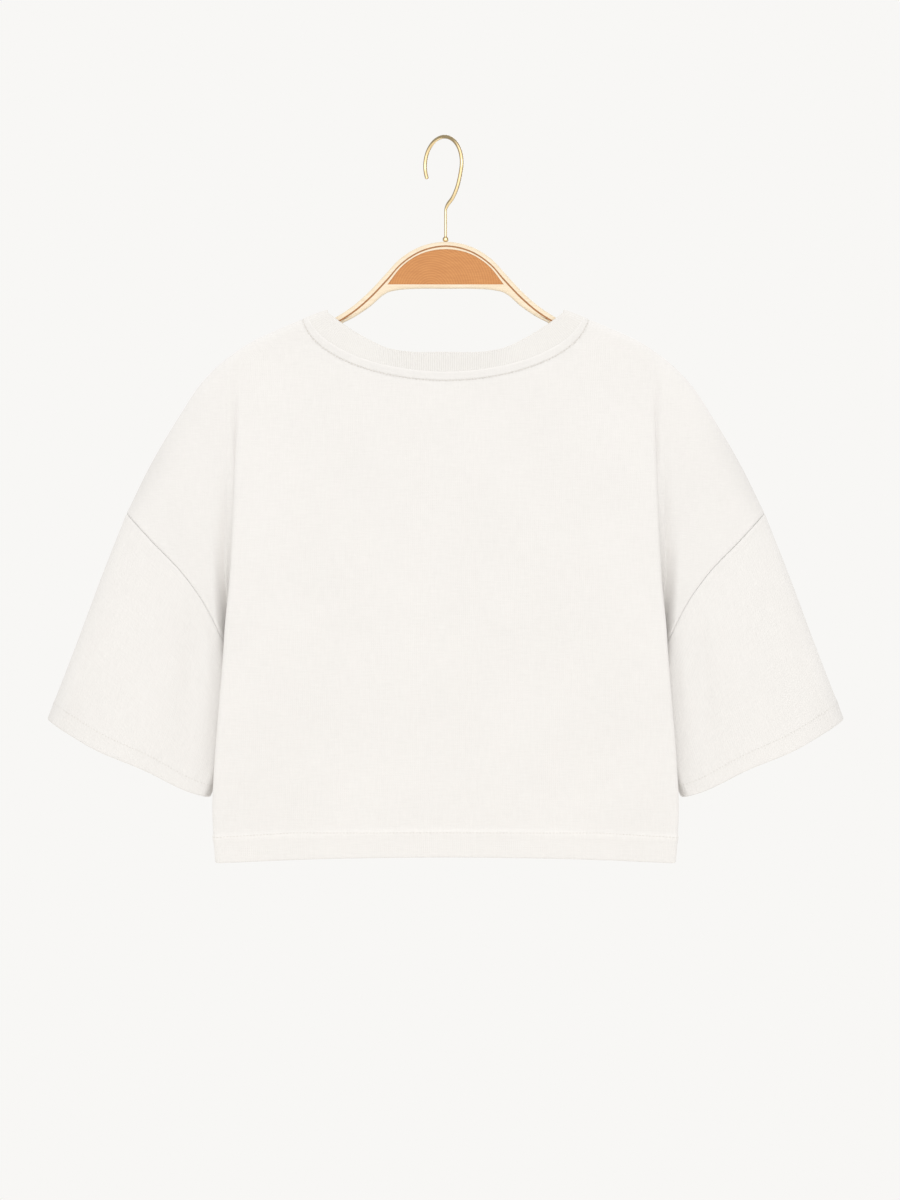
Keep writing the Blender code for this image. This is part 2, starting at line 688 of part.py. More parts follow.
def extrude_through(bmesh_data, depth):
    """Give flat faces a depth along +Y, and close the body."""
    made = bmesh.ops.extrude_face_region(bmesh_data, geom=bmesh_data.faces[:])
    moved = [item for item in made["geom"] if isinstance(item, bmesh.types.BMVert)]
    bmesh.ops.translate(bmesh_data, verts=moved, vec=(0, depth, 0))
    bmesh.ops.recalc_face_normals(bmesh_data, faces=bmesh_data.faces[:])


def weigh_outline(bmesh_data, foot_z):
    """Mark the outline's long edges for rounding, and leave the infill's seat sharp."""
    weight = bmesh_data.edges.layers.float.new("bevel_weight_edge")
    for edge in bmesh_data.edges:
        a, b = (vert.co for vert in edge.verts)
        middle = (a + b) / 2
        arch_z = np.interp(abs(middle.x), *np.array(INFILL_ARCH).T)
        in_seat = abs(middle.x) < INFILL_ARCH[-1][0] and foot_z - 0.001 < middle.z < arch_z + 0.002
        if abs(a.y - b.y) < 1e-6 and edge.calc_face_angle(0) > 1.0 and not in_seat:
            edge[weight] = 1.0


def make_hanger_frame(lines):
    shape = bmesh.new()
    for x_sign in (1, -1):
        flat_frame(shape, lines, x_sign)
    bmesh.ops.remove_doubles(shape, verts=shape.verts[:], dist=1e-5)
    extrude_through(shape, HANGER_DEPTH)
    weigh_outline(shape, INFILL_ARCH[-1][1])
    mesh = bpy.data.meshes.new("hanger_frame")
    shape.to_mesh(mesh)
    shape.free()
    frame = add_object("hanger_frame", mesh, colour_material("pale_laminate", FRAME_COLOUR, 0.45))
    rounding = frame.modifiers.new("rounded_outline", "BEVEL")
    rounding.limit_method = "WEIGHT"
    rounding.width = HANGER_ROUND
    rounding.segments = 2
    mesh.shade_smooth()
    mesh.set_sharp_from_angle(angle=math.radians(40))
    return frame


def make_infill():
    """The wooden panel under the bow: its seat's outline, a gap smaller."""
    arch = fine_curve(INFILL_ARCH)
    raised = offset_curve(arch, INFILL_GAP)
    foot_z = INFILL_ARCH[-1][1] + INFILL_GAP
    half = raised[raised[:, 1] > foot_z + 0.0002]
    half = along(half, np.linspace(0, 1, 9))
    half[0, 0] = 0
    outline = np.vstack([half, [(half[-1, 0] - 0.0002, foot_z)]])
    mirrored = outline[::-1][:-1] * (-1, 1)
    shape = bmesh.new()
    corners = [(x, -INFILL_DEPTH / 2, z) for x, z in np.vstack([mirrored, outline])]
    shape.faces.new([shape.verts.new(corner) for corner in corners])
    extrude_through(shape, INFILL_DEPTH)
    mesh = bpy.data.meshes.new("hanger_infill")
    shape.to_mesh(mesh)
    shape.free()
    return add_object("hanger_infill", mesh, colour_material("orange_wood", INFILL_COLOUR, 0.5))


# ---------------------------------------------------------------- hook
def hook_route():
    """The wire's centre line in the eye's plane: stem, neck and eye, as u, z."""
    centre_z = WIRE_RADIUS - HOOK_RADIUS
    angles = np.linspace(HOOK_LEAVE_ANGLE, HOOK_TIP_ANGLE, 26)
    eye = np.column_stack([HOOK_RADIUS * np.cos(angles), centre_z + HOOK_RADIUS * np.sin(angles)])
    neck = along(fine_curve(((0.0, HOOK_KINK_Z),) + HOOK_NECK[::-1] + (tuple(eye[0]),)),
                 np.linspace(0, 1, 10))
    return np.vstack([neck[:-1], eye])


def make_hook():
    """A bent wire whose foot swells into a small ferrule that sits on the bow."""
    foot_z = HANGER_TOP[0][1] + SEAM_GAP
    ferrule = [(0, foot_z + FERRULE_RADIUS * h, w) for h, w in
               ((0.0, 0.75), (0.45, 1.0), (1.1, 1.0), (1.7, 0.8))]
    stem = [(0, foot_z + 2.0 * FERRULE_RADIUS), (0, (foot_z + HOOK_KINK_Z) / 2),
            (0, HOOK_KINK_Z - 0.003)]
    route = [(u, z, w * FERRULE_RADIUS / WIRE_RADIUS) for u, z, w in ferrule]
    route += [(u, z, 1.0) for u, z in stem + hook_route().tolist()]
    curve = bpy.data.curves.new("hook", "CURVE")
    curve.dimensions = "3D"
    curve.bevel_depth = WIRE_RADIUS
    curve.bevel_resolution = 2
    curve.use_fill_caps = True
    spline = curve.splines.new("POLY")
    spline.points.add(len(route) - 1)
    for point, (u, z, radius) in zip(spline.points, route):
        point.co = (u * math.cos(HOOK_TURN), -u * math.sin(HOOK_TURN), z, 1)
        point.radius = radius
    return add_object("hook", curve, colour_material("brass_wire", BRASS_COLOUR, 0.25, 1.0))


# ---------------------------------------------------------------- build
def main():
    for obj in list(bpy.data.objects):
        bpy.data.objects.remove(obj)
    make_cloth()
    make_hanger_frame(hanger_lines())
    make_infill()
    make_hook()


main()
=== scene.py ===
import math

import bmesh
import bpy
import numpy as np
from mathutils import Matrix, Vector


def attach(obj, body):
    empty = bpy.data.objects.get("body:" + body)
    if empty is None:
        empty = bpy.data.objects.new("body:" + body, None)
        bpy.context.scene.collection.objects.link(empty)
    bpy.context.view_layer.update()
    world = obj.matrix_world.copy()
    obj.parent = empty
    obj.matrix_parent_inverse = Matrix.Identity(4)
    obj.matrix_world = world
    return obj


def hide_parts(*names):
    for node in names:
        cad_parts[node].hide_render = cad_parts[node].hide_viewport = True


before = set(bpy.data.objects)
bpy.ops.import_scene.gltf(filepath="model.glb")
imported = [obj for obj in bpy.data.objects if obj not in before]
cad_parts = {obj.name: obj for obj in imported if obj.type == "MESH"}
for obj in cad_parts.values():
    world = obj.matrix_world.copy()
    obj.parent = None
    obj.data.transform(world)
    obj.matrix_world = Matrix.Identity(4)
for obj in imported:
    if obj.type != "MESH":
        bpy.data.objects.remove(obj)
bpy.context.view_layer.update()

bpy.ops.object.select_all(action="DESELECT")
print("frame loaded:", ", ".join(sorted(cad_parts)))


# small tools

def linear(hexText):  # an sRGB hex colour as the linear values that a shader wants
    parts = [int(hexText[k:k + 2], 16) / 255 for k in (1, 3, 5)]
    return tuple(c / 12.92 if c <= 0.04045 else ((c + 0.055) / 1.055) ** 2.4
                 for c in parts) + (1.0,)


def addNode(tree, kind, inputs=(), out=0, stops=(), **settings):
    # a node with its settings and a ramp's stops; an input is a value or another node's output
    node = tree.nodes.new("ShaderNode" + kind)
    for name, value in settings.items():
        setattr(node, name, value)
    for name, value in dict(inputs).items():
        if isinstance(value, bpy.types.NodeSocket):
            tree.links.new(value, node.inputs[name])
        else:
            node.inputs[name].default_value = value
    for k, (position, hexText) in enumerate(stops):
        node.color_ramp.elements[k].position = position
        node.color_ramp.elements[k].color = linear(hexText)
    return node.outputs[out]


def newMaterial(name, **shaderInputs):
    material = bpy.data.materials.new(name)
    material.use_nodes = True
    shader = material.node_tree.nodes["Principled BSDF"]
    for key, value in shaderInputs.items():
        shader.inputs[key.replace("_", " ")].default_value = value
    return material, material.node_tree


def dress(tree, colour, height=None, strength=0.0, distance=0.0):
    # the shader takes its colour, and its finest relief as bump
    shader = tree.nodes["Principled BSDF"]
    tree.links.new(colour, shader.inputs["Base Color"])
    if height:
        bump = addNode(tree, "Bump", {
            "Strength": strength, "Distance": distance, "Height": height})
        tree.links.new(bump, shader.inputs["Normal"])


def smoothStep(t):
    t = np.clip(t, 0, 1)
    return t * t * (3 - 2 * t)


# materials

waveScale = 0.314  # a wave texture of this scale repeats once in a metre


def makeJersey():
    # single jersey in combed cotton, washed once: dead matt, with soft uneven yarns that give
    # short level streaks, and faint upright wales
    jersey = {
        "yarn": "#E4E2E0", "thinYarn": "#DBD9D7",
        "walePitch": 0.0019,   # metres; real wales stand 0.8 mm apart, drawn coarser so they show
        "slubLength": 0.016, "slubHeight": 0.0011, "cloud": 1 / 14,
    }
    material, tree = newMaterial("cottonJersey", Roughness=0.92, IOR=1.45, Sheen_Weight=0.12,
                                 Sheen_Roughness=0.6, Specular_IOR_Level=0.25)
    cloth = addNode(tree, "UVMap", uv_map="cloth")
    patterns = (  # width and height of its grain, detail, roughness, share of the shade
        (jersey["slubLength"], jersey["slubHeight"], 3.0, 0.62, 0.55),
        (jersey["cloud"], jersey["cloud"], 2.0, 0.5, 0.25),
        (jersey["walePitch"], jersey["slubLength"], 2.0, 0.5, 0.35))
    shade, grains = -0.06, []
    for width, height, detail, roughness, share in patterns:
        place = addNode(tree, "Mapping", {"Vector": cloth, "Scale": (1 / width, 1 / height, 1)})
        grains.append(addNode(tree, "TexNoise", {
            "Vector": place, "Scale": 1.0, "Detail": detail, "Roughness": roughness}))
        shade = addNode(tree, "Math", {0: grains[-1], 1: share, 2: shade},
                        operation="MULTIPLY_ADD")
    colour = addNode(tree, "ValToRGB", {"Fac": shade}, stops=(
        (0.3, jersey["thinYarn"]), (0.85, jersey["yarn"])))
    wales = addNode(tree, "TexWave", {
        "Vector": cloth, "Scale": waveScale / jersey["walePitch"], "Distortion": 1.4,
        "Detail": 2.0, "Detail Scale": 1.5}, "Fac", wave_type="BANDS", bands_direction="X")
    relief = addNode(tree, "Math", {0: wales, 1: 0.30, 2: grains[0]}, operation="MULTIPLY_ADD")
    # painted light and shade: the colour is scaled by an attribute that paints highlights on the
    # neck strip's rim and the hem's stitched edge, shade along the shoulders and sleeve edges, and
    # light into the side fold and under the arm
    tone = addNode(tree, "Attribute", out="Fac", attribute_name="tone")
    paintedShadingColour = addNode(tree, "VectorMath", {0: colour, 3: tone}, operation="SCALE")
    dress(tree, paintedShadingColour, relief, 0.35, 0.0006)
    return material


def makeRibKnit():
    # the same cotton knitted one by one: the ribs are real, their rough yarn is bump
    rib = {"yarn": "#E0DEDC", "valley": "#D4D2CE", "grain": 0.0013}
    material, tree = newMaterial("cottonRibKnit", Roughness=0.92, IOR=1.45, Sheen_Weight=0.10,
                                 Sheen_Roughness=0.6, Specular_IOR_Level=0.25)
    cloth = addNode(tree, "UVMap", uv_map="cloth")
    grain = addNode(tree, "TexNoise", {
        "Vector": cloth, "Scale": 1 / rib["grain"], "Detail": 2.0})
    height = addNode(tree, "Attribute", out="Fac", attribute_name="ribHeight")
    # the valleys between the ribs are painted a shade deeper than their tops: painted shade
    colour = addNode(tree, "Mix", {
        "Factor": height, "A": linear(rib["valley"]), "B": linear(rib["yarn"])},
        "Result", data_type="RGBA")
    dress(tree, colour, grain, 0.15, 0.0004)
    return material


def makeThread():
    # spun polyester sewing thread, matt; its colour is painted a shade deeper than the cloth, as
    # painted shade along the stitch lines
    material, tree = newMaterial("sewingThreadWithPaintedShade", Roughness=0.7, IOR=1.5, Specular_IOR_Level=0.3)
    place = addNode(tree, "TexCoord", out="Object")
    ply = addNode(tree, "TexNoise", {"Vector": place, "Scale": 900.0, "Detail": 1.0})
    dress(tree, addNode(tree, "Mix", {
        "Factor": ply, "A": linear("#D3D0CA"), "B": linear("#DEDBD6")},
        "Result", data_type="RGBA"))
    return material


def makeWood(name, light, dark, grain, rings, roughness):
    # rotary-cut veneer or solid wood under a clear satin lacquer: fine level pores, and growth
    # rings where the saw shows them; grain and rings are (length, height) and (pitch, centre)
    material, tree = newMaterial(name, Roughness=roughness, IOR=1.5, Coat_Weight=0.08,
                                 Coat_Roughness=0.25, Specular_IOR_Level=0.25)
    place = addNode(tree, "TexCoord", out="Object")
    stretched = addNode(tree, "Mapping", {
        "Vector": place, "Scale": (1 / grain[0], 1 / grain[1], 1 / grain[1])})
    pattern = pores = addNode(tree, "TexNoise", {
        "Vector": stretched, "Scale": 1.0, "Detail": 4.0, "Roughness": 0.6})
    if rings:
        centred = addNode(tree, "Mapping", {
            "Vector": place, "Location": (-rings[1][0], 0, -rings[1][1])})
        ring = addNode(tree, "TexWave", {
            "Vector": centred, "Scale": waveScale / rings[0], "Distortion": 1.8, "Detail": 2.0,
            "Detail Scale": 0.5}, "Fac",
            wave_type="RINGS", rings_direction="Y", wave_profile="SAW")
        pattern = addNode(tree, "Math", {0: ring, 1: 0.55, 2: pores}, operation="MULTIPLY_ADD")
    colour = addNode(tree, "ValToRGB", {"Fac": pattern}, stops=(
        (0.3, light), (1.1 if rings else 0.75, dark)))
    dress(tree, colour, pores, 0.12, 0.0003)
    return material


def makeGoldWire():
    # steel wire with a thin pale gold plating: bright, with drawing marks too fine to see
    material, tree = newMaterial("goldPlatedWire", Metallic=1.0, Roughness=0.16)
    place = addNode(tree, "TexCoord", out="Object")
    drawn = addNode(tree, "TexNoise", {"Vector": place, "Scale": 260.0, "Detail": 2.0})
    colour = addNode(tree, "Mix", {
        "Factor": drawn, "A": linear("#E2C691"), "B": linear("#EFDCB4")},
        "Result", data_type="RGBA")
    dress(tree, colour, drawn, 0.05, 0.0002)
    return material


jerseyCloth = makeJersey()
ribCloth = makeRibKnit()
threadStuff = makeThread()
paleLaminate = makeWood("lacqueredBeechVeneer", "#E8DAC4", "#DCCAAD", (0.030, 0.0016), None, 0.42)
glueStuff = makeWood("darkGlueVeneer", "#A87548", "#8C5C34", (0.020, 0.0010), None, 0.5)
orangeWood = makeWood("orangeBeechBlock", "#CE9054", "#B87A44", (0.012, 0.0012),
                      (0.0023, (-0.014, -0.142)), 0.45)
goldWire = makeGoldWire()
print("materials made")


# the cloth's form: every table gives one half, x outward, z up, in metres

garment = {
    "wall": 0.0012, "bandWall": 0.0018,
    "neckHalfWidth": 0.1246, "neckCurve": 1.9, "neckDrop": {"back": 0.0528, "front": 0.0880},
    "neckStrip": 0.0086, "stripTaper": 0.0040,
    "ridgeRound": 0.0070, "ridgeSquareness": 2.6, "ridgeDepth": 0.0086, "depthSpread": 0.060,
    "sideDepthFrom": 0.35, "sideDepthOver": 0.62,
    "yokeDepth": 0.0200, "yokeSpread": 0.030, "valleyWidth": 0.024, "valleyLeast": 0.0018,
    "foldRadius": 0.0045, "foldEdgeShare": 0.4, "foldLeave": 0.6, "foldArrive": 0.016,
    "hemCentre": -0.6695, "hemCorner": -0.6742, "hemSide": -0.6735, "hemBand": 0.0240,
    "cuffBand": 0.0175, "cuffDepth": 0.0210, "cuffTopRound": 0.016, "cuffUnderRound": 0.006,
    "openFrom": 0.40, "openOver": 0.45, "openPower": 12,
}
shoulderRidge = [
    (0.0900, -0.1515), (0.1246, -0.1652), (0.1545, -0.1778), (0.1825, -0.1909),
    (0.2058, -0.2068), (0.2292, -0.2300), (0.2460, -0.2553), (0.2758, -0.3057),
    (0.2975, -0.3500),
]
armholeLine = [
    (0.2975, -0.3500), (0.2736, -0.3758), (0.2450, -0.4055), (0.2259, -0.4316),
    (0.2105, -0.4603), (0.2000, -0.4800),
]
sleeveTop = [(0.2975, -0.3500), (0.3131, -0.3887), (0.3458, -0.4754), (0.3714, -0.5417)]
sleeveUnder = [
    (0.2000, -0.4800), (0.2025, -0.5000), (0.2050, -0.5300), (0.2070, -0.5600),
    (0.2115, -0.5950), (0.2198, -0.6145),
]
cuffEdge = [
    (0.3714, -0.5417), (0.3520, -0.5544), (0.3282, -0.5686), (0.2807, -0.5888),
    (0.2354, -0.6102), (0.2198, -0.6145),
]
sideColumns = ("z", "centre", "edge", "edgeX", "valleyX", "valleyShare", "folded")
sideTable = [
    (-0.190, 0.0105, 0.0100, 0.1950, 0.2050, 1.00, 0.00),
    (-0.230, 0.0125, 0.0140, 0.1946, 0.2030, 0.96, 0.20),
    (-0.300, 0.0150, 0.0240, 0.1965, 0.2035, 0.85, 0.80),
    (-0.366, 0.0175, 0.0305, 0.1985, 0.2045, 0.60, 1.00),
    (-0.414, 0.0190, 0.0340, 0.2009, 0.2045, 0.34, 1.00),
    (-0.452, 0.0205, 0.0365, 0.2045, 0.2025, 0.15, 1.00),
    (-0.480, 0.0212, 0.0372, 0.2062, 0.2000, 0.00, 1.00),
    (-0.533, 0.0225, 0.0380, 0.2105, 0.1945, 0.00, 1.00),
    (-0.580, 0.0235, 0.0380, 0.2140, 0.1935, 0.00, 1.00),
    (-0.625, 0.0245, 0.0372, 0.2160, 0.1950, 0.00, 1.00),
    (-0.675, 0.0255, 0.0360, 0.2130, 0.1975, 0.00, 1.00),
]
ribEdge = {
    "back": [(0.0000, -0.1996), (0.0332, -0.1994), (0.0533, -0.1961), (0.0735, -0.1870),
             (0.0958, -0.1734), (0.1105, -0.1622)],
    "front": [(0.0000, -0.2350), (0.0300, -0.2335), (0.0550, -0.2270), (0.0780, -0.2140),
              (0.0960, -0.1945), (0.1070, -0.1755), (0.1105, -0.1622)],
}


def hermite(knots, values, at):  # smooth values between knots
    knots, values, at = (np.asarray(item, dtype=float) for item in (knots, values, at))
    slopes = np.gradient(values, knots, axis=0)
    at = np.clip(at, knots[0], knots[-1])
    low = np.clip(np.searchsorted(knots, at) - 1, 0, len(knots) - 2)
    step = knots[low + 1] - knots[low]
    t = (at - knots[low]) / step
    if values.ndim == 2:
        step, t = step[:, None], t[:, None]
    return ((2 * t**3 - 3 * t**2 + 1) * values[low] + (t**3 - 2 * t**2 + t) * step * slopes[low]
            + (3 * t**2 - 2 * t**3) * values[low + 1] + (t**3 - t**2) * step * slopes[low + 1])


def lengthsAlong(points):
    return np.r_[0, np.cumsum(np.linalg.norm(np.diff(points, axis=0), axis=1))]


def sharesAlong(points):
    lengths = lengthsAlong(points)
    return lengths / lengths[-1]


def unit(vectors):
    return vectors / np.linalg.norm(vectors, axis=-1, keepdims=True)


def squareTo(chain):  # directions square to a chain in x, z, to its lower side
    tangent = np.gradient(chain, axis=0)
    return np.column_stack([tangent[:, 1], -tangent[:, 0]])


def glow(distance, reach):  # 1 at no distance, fading out round its reach
    return np.exp(-(distance / reach)**2)


def fineCurve(points, samples=300):
    points = np.array(points, dtype=float)
    chords = lengthsAlong(points)
    return hermite(chords, points, np.linspace(0, chords[-1], samples))


def along(chain, shares):  # points at these shares of a chain's length
    lengths = lengthsAlong(chain)
    places = np.asarray(shares, dtype=float) * lengths[-1]
    return np.column_stack([np.interp(places, lengths, column) for column in chain.T])


def denser(values, counts, power=1.0):
    # more values between the given ones; power crowds the first stretch's towards its start
    parts = [np.array(values[:1], dtype=float)]
    for k, count in enumerate(counts):
        t = np.arange(1, count + 1) / count
        t = t ** power if k == 0 else t
        parts.append(values[k] + (values[k + 1] - values[k]) * t)
    return np.concatenate(parts)


ridge = fineCurve(shoulderRidge)
sideValues = dict(zip(sideColumns, np.array(sideTable)[::-1].T))

# how finely the cloth is laid out: the first four neck counts and row counts match
neckOrder = 1 - denser(np.arange(12), (5, 2, 2, 3, 5, 5, 5, 6, 6, 6, 6), 2)[::-1] / 11
neckAngles = denser((90, 89, 86.8, 83, 74, 62, 51, 40, 30, 20, 10, 0),
                    (5, 2, 2, 3, 5, 5, 5, 6, 6, 6, 6), 2)[::-1]
topRows = 12
rowsToArmpit = (0, .003, .009, .022, .05, .10, .18, .28, .40, .52, .64, .76, .87, .94, .98, 1)
armpitCounts = (5, 2, 2, 3, 5, 8, 9, 11, 11, 11, 11, 10, 7, 4, 3)
downShares = denser(rowsToArmpit, armpitCounts, 2)
rowOrder = denser(np.arange(16), armpitCounts, 2) / 15
belowCounts = (2, 8, 12, 12, 12, 6)
fromHemEdge = (.032, .0295, .0275, .026, .025, .0244, .0239, .0234, .0229, .022, .0205, .018,
               .015, .012, .009, .006, .003, .0016, .0009, .0004, 0)
fromCuffEdge = (.024, .0215, .0198, .0187, .018, .0175, .0170, .0165, .0158, .0145, .012, .009,
                .006, .003, .0016, .0009, .0004, 0)
hemStitches, cuffStitches = fromHemEdge.index(.0234), fromCuffEdge.index(.0170)
foldShares = np.r_[np.linspace(0, 0.4, 9), np.linspace(0.4, 1, 15)[1:]]
yokeShares = 1 - np.linspace(1, 0, 25) ** 1.35
ringCounts = (6, 6, 9, 10, 10, 9, 7)


def sideAt(column, z):
    return hermite(sideValues["z"], sideValues[column], z)


def onRidge(x):
    x = np.asarray(x, dtype=float)
    return np.stack([x, np.interp(x, ridge[:, 0], ridge[:, 1])], axis=-1)


def ridgeBetween(start, end, shares):
    inner = ridge[(ridge[:, 0] > start) & (ridge[:, 0] < end)]
    return along(np.vstack([onRidge(start), inner, onRidge(end)]), shares)


def ridgeDistance(points):  # distance of x, z points from the shoulder ridge
    start, step = ridge[:-1], np.diff(ridge, axis=0)
    flat = points.reshape(-1, 2)
    best = np.full(len(flat), np.inf)
    for low in range(0, len(flat), 4000):
        offset = flat[low:low + 4000, None] - start
        t = np.clip((offset * step).sum(-1) / (step**2).sum(-1), 0, 1)
        best[low:low + 4000] = np.linalg.norm(offset - t[..., None] * step, axis=-1).min(-1)
    return best.reshape(points.shape[:-1])


def ridgeRounding(distance):  # 0 on the ridge, 1 where the cloth hangs straight
    power = garment["ridgeSquareness"]
    t = np.clip(distance / garment["ridgeRound"], 0, 1)
    return (1 - (1 - t)**power)**(1 / power)


def bodyDepth(points):
    distance = ridgeDistance(points)
    x, z = points[..., 0], points[..., 1]
    share = smoothStep((x / sideAt("edgeX", z) - garment["sideDepthFrom"])
                       / garment["sideDepthOver"])
    full = sideAt("centre", z) * (1 - share) + sideAt("edge", z) * share
    least = garment["ridgeDepth"]
    depth = least + (full - least) * (1 - np.exp(-distance / garment["depthSpread"]))
    return depth * ridgeRounding(distance)


def neckSeam(face):
    angle, power = np.radians(neckAngles), 2 / garment["neckCurve"]
    top = onRidge(garment["neckHalfWidth"])[1]
    x = garment["neckHalfWidth"] * np.sin(angle)**power
    z = top - garment["neckDrop"][face] * np.clip(np.cos(angle), 0, 1)**power
    z[-1] = top
    return np.column_stack([x, z])


def besideNeck(face, width):  # the line at a width outside the neck seam, ending on the ridge
    # the stitched strip narrows where it goes over the shoulder
    half, strip = garment["neckHalfWidth"], garment["neckStrip"]
    taper = garment["stripTaper"] * smoothStep((neckOrder - 0.45) / 0.55)
    width = (taper + (1 - taper / strip) * width)[:, None]
    seam = neckSeam(face)
    tangent = np.gradient(seam, axis=0)
    tangent[0] = (1, 0)
    outward = unit(np.column_stack([tangent[:, 1], -tangent[:, 0]]))
    alongRidge = unit(onRidge(half + strip) - onRidge(half))
    turn = (neckOrder**6)[:, None]
    line = seam + width * unit(outward * (1 - turn) + alongRidge * turn)
    # no point comes nearer to the ridge than its fellow on the neck seam
    under = onRidge(seam[:, 0])[:, 1] - seam[:, 1]
    line[:, 1] = np.minimum(line[:, 1], onRidge(line[:, 0])[:, 1] - under)
    line[-1] = onRidge(line[-1, 0])
    return line


def withDepth(points, depth):
    return np.stack([points[..., 0], depth, points[..., 1]], axis=-1)


def onBody(points):
    return withDepth(points, bodyDepth(points))


def rowShares():
    top, hem = onRidge(sideValues["valleyX"][-1])[1], garment["hemSide"]
    armpit = (armholeLine[-1][1] - top) / (hem - top)
    below = armpit + (1 - armpit) * np.array((0, .016, .15, .35, .55, .75))
    atHem = 1 - np.array(fromHemEdge) / (top - hem)
    lower = denser(np.r_[below, atHem[0]], belowCounts)
    return np.r_[armpit * downShares, lower[1:], atHem[1:]], len(downShares) - 1


def foldLine(column, hemZ, shift=0.0):
    shares, _ = rowShares()
    top = onRidge(sideValues[column][-1] - shift)
    z = top[1] + (hemZ - top[1]) * shares
    line = np.column_stack([sideAt(column, z) - shift, z])
    line[0] = onRidge(line[0, 0])
    return line


def shoulderPoints(face):  # the rows close under the ridge, from the neck out to the side fold
    edge = foldLine("edgeX", garment["hemCorner"], garment["foldRadius"])[:topRows + 1]
    neck = besideNeck(face, garment["neckStrip"])[::-1][:topRows + 1]
    u = np.linspace(0, 1, 17)[:, None]
    top = ridgeBetween(neck[0, 0], edge[0, 0], u[:, 0])
    bow = top - (1 - u) * top[0] - u * top[-1]
    return (1 - u) * neck[:, None] + u * edge[:, None] + bow


def bodyPoints(face):  # the body under those rows: a blend of its four edges
    shares = rowShares()[0][topRows:]
    shares = (shares - shares[0]) / (1 - shares[0])
    edge = foldLine("edgeX", garment["hemCorner"], garment["foldRadius"])[topRows:]
    neck = besideNeck(face, garment["neckStrip"])[:-topRows]
    top = np.vstack([neck[:-1], shoulderPoints(face)[-1]])
    across = sharesAlong(top)
    low, corner = garment["hemCentre"], garment["hemCorner"]
    hem = np.column_stack([across * edge[-1, 0], low + (corner - low) * across**2])
    centre = np.column_stack([np.zeros(len(shares)), top[0, 1] + (hem[0, 1] - top[0, 1]) * shares])
    s, u = shares[:, None, None], across[None, :, None]
    corners = (1 - s) * ((1 - u) * top[0] + u * top[-1]) + s * ((1 - u) * hem[0] + u * hem[-1])
    return (1 - s) * top + s * hem + (1 - u) * centre[:, None] + u * edge[:, None] - corners


def yokeGrid():  # outside the side fold, running to a point at the armpit
    _, armpit = rowShares()
    valley = foldLine("valleyX", garment["hemSide"])[:armpit + 1]
    top = ridgeBetween(valley[0, 0], armholeLine[0][0], yokeShares)
    seam = along(fineCurve(armholeLine), downShares)
    t, u = downShares[:, None, None], yokeShares[None, :, None]
    bow = top - (1 - u) * top[0] - u * top[-1]
    points = (1 - u) * valley[:, None] + u * seam[:, None] + (1 - t) * bow
    distance = ridgeDistance(points)
    least, full = garment["ridgeDepth"], garment["yokeDepth"]
    face = least + (full - least) * (1 - np.exp(-distance / garment["yokeSpread"]))
    away = np.linalg.norm(points - valley[:, None], axis=-1)
    bottom = np.maximum(face[:, :1] * sideAt("valleyShare", valley[:, 1])[:, None],
                        garment["valleyLeast"])
    rise = 1 - (1 - np.clip(away / garment["valleyWidth"], 0, 1))**2
    depth = bottom + (face - bottom) * rise
    depth = depth * ridgeRounding(distance)
    depth[-1] = 0
    return withDepth(points, depth)


def foldGrid(inner, outer, armpit):  # round the side fold's edge, then back to its valley
    radius, edgeShare = garment["foldRadius"], garment["foldEdgeShare"]
    order = np.ones(len(inner))
    order[:armpit + 1] = rowOrder
    rows = []
    for start, end, down in zip(inner, outer, order):
        folded = float(sideAt("folded", start[2]) * ridgeRounding(ridgeDistance(start[[0, 2]])))
        turned = down**3 * math.pi / 2
        arrive = garment["foldArrive"] * np.array([math.cos(turned), -math.sin(turned)])
        leave = np.array([0, -garment["foldLeave"] * (start[1] - end[1])])
        angle = (math.pi / 2 * np.clip(foldShares / edgeShare, 0, 1))[:, None]
        arc = start[:2] + radius * np.hstack([np.sin(angle), np.cos(angle) - 1])
        t = np.clip((foldShares - edgeShare) / (1 - edgeShare), 0, 1)[:, None]
        bend, back = np.array([start[0] + radius, start[1] - radius]), end[:2]
        swing = ((2 * t**3 - 3 * t**2 + 1) * bend + (t**3 - 2 * t**2 + t) * leave
                 + (3 * t**2 - 2 * t**3) * back + (t**3 - t**2) * arrive)
        place = np.where(foldShares[:, None] <= edgeShare, arc, swing)
        flat = start + (end - start) * foldShares[:, None]
        rows.append(np.column_stack([flat[:, :2] * (1 - folded) + place * folded, flat[:, 2]]))
    return np.array(rows)


def sleeveGrid(armholeEdge):
    length = lengthsAlong(fineCurve(cuffEdge))[-1]
    sleeveLength = lengthsAlong(fineCurve(sleeveTop))[-1]
    atCuff = 1 - np.array(fromCuffEdge) / sleeveLength
    rings = np.r_[denser((0, .025, .12, .27, .44, .61, .77, atCuff[0]), ringCounts), atCuff[1:]]
    cuff, outer = along(fineCurve(cuffEdge), downShares), along(fineCurve(sleeveTop), rings)
    under, seam = along(fineCurve(sleeveUnder), rings), armholeEdge[:, [0, 2]]
    k, v = rings[:, None, None], downShares[None, :, None]
    corners = ((1 - k) * ((1 - v) * seam[0] + v * seam[-1])
               + k * ((1 - v) * cuff[0] + v * cuff[-1]))
    points = (1 - k) * seam + k * cuff + (1 - v) * outer[:, None] + v * under[:, None] - corners
    fromTop = np.clip(downShares * length / garment["cuffTopRound"], 0, 1)
    fromUnder = np.clip((1 - downShares) * length / garment["cuffUnderRound"], 0, 1)
    mouth = garment["cuffDepth"] * np.sqrt((1 - (1 - fromTop)**2) * (1 - (1 - fromUnder)**2))
    # beside the body the sleeve soon opens to its full depth
    near = smoothStep((downShares - garment["openFrom"]) / garment["openOver"])
    rings = rings[:, None]
    opened = rings + (1 - (1 - rings)**garment["openPower"] - rings) * near
    depth = armholeEdge[:, 1] * (1 - opened) + mouth * opened
    return withDepth(points, depth)


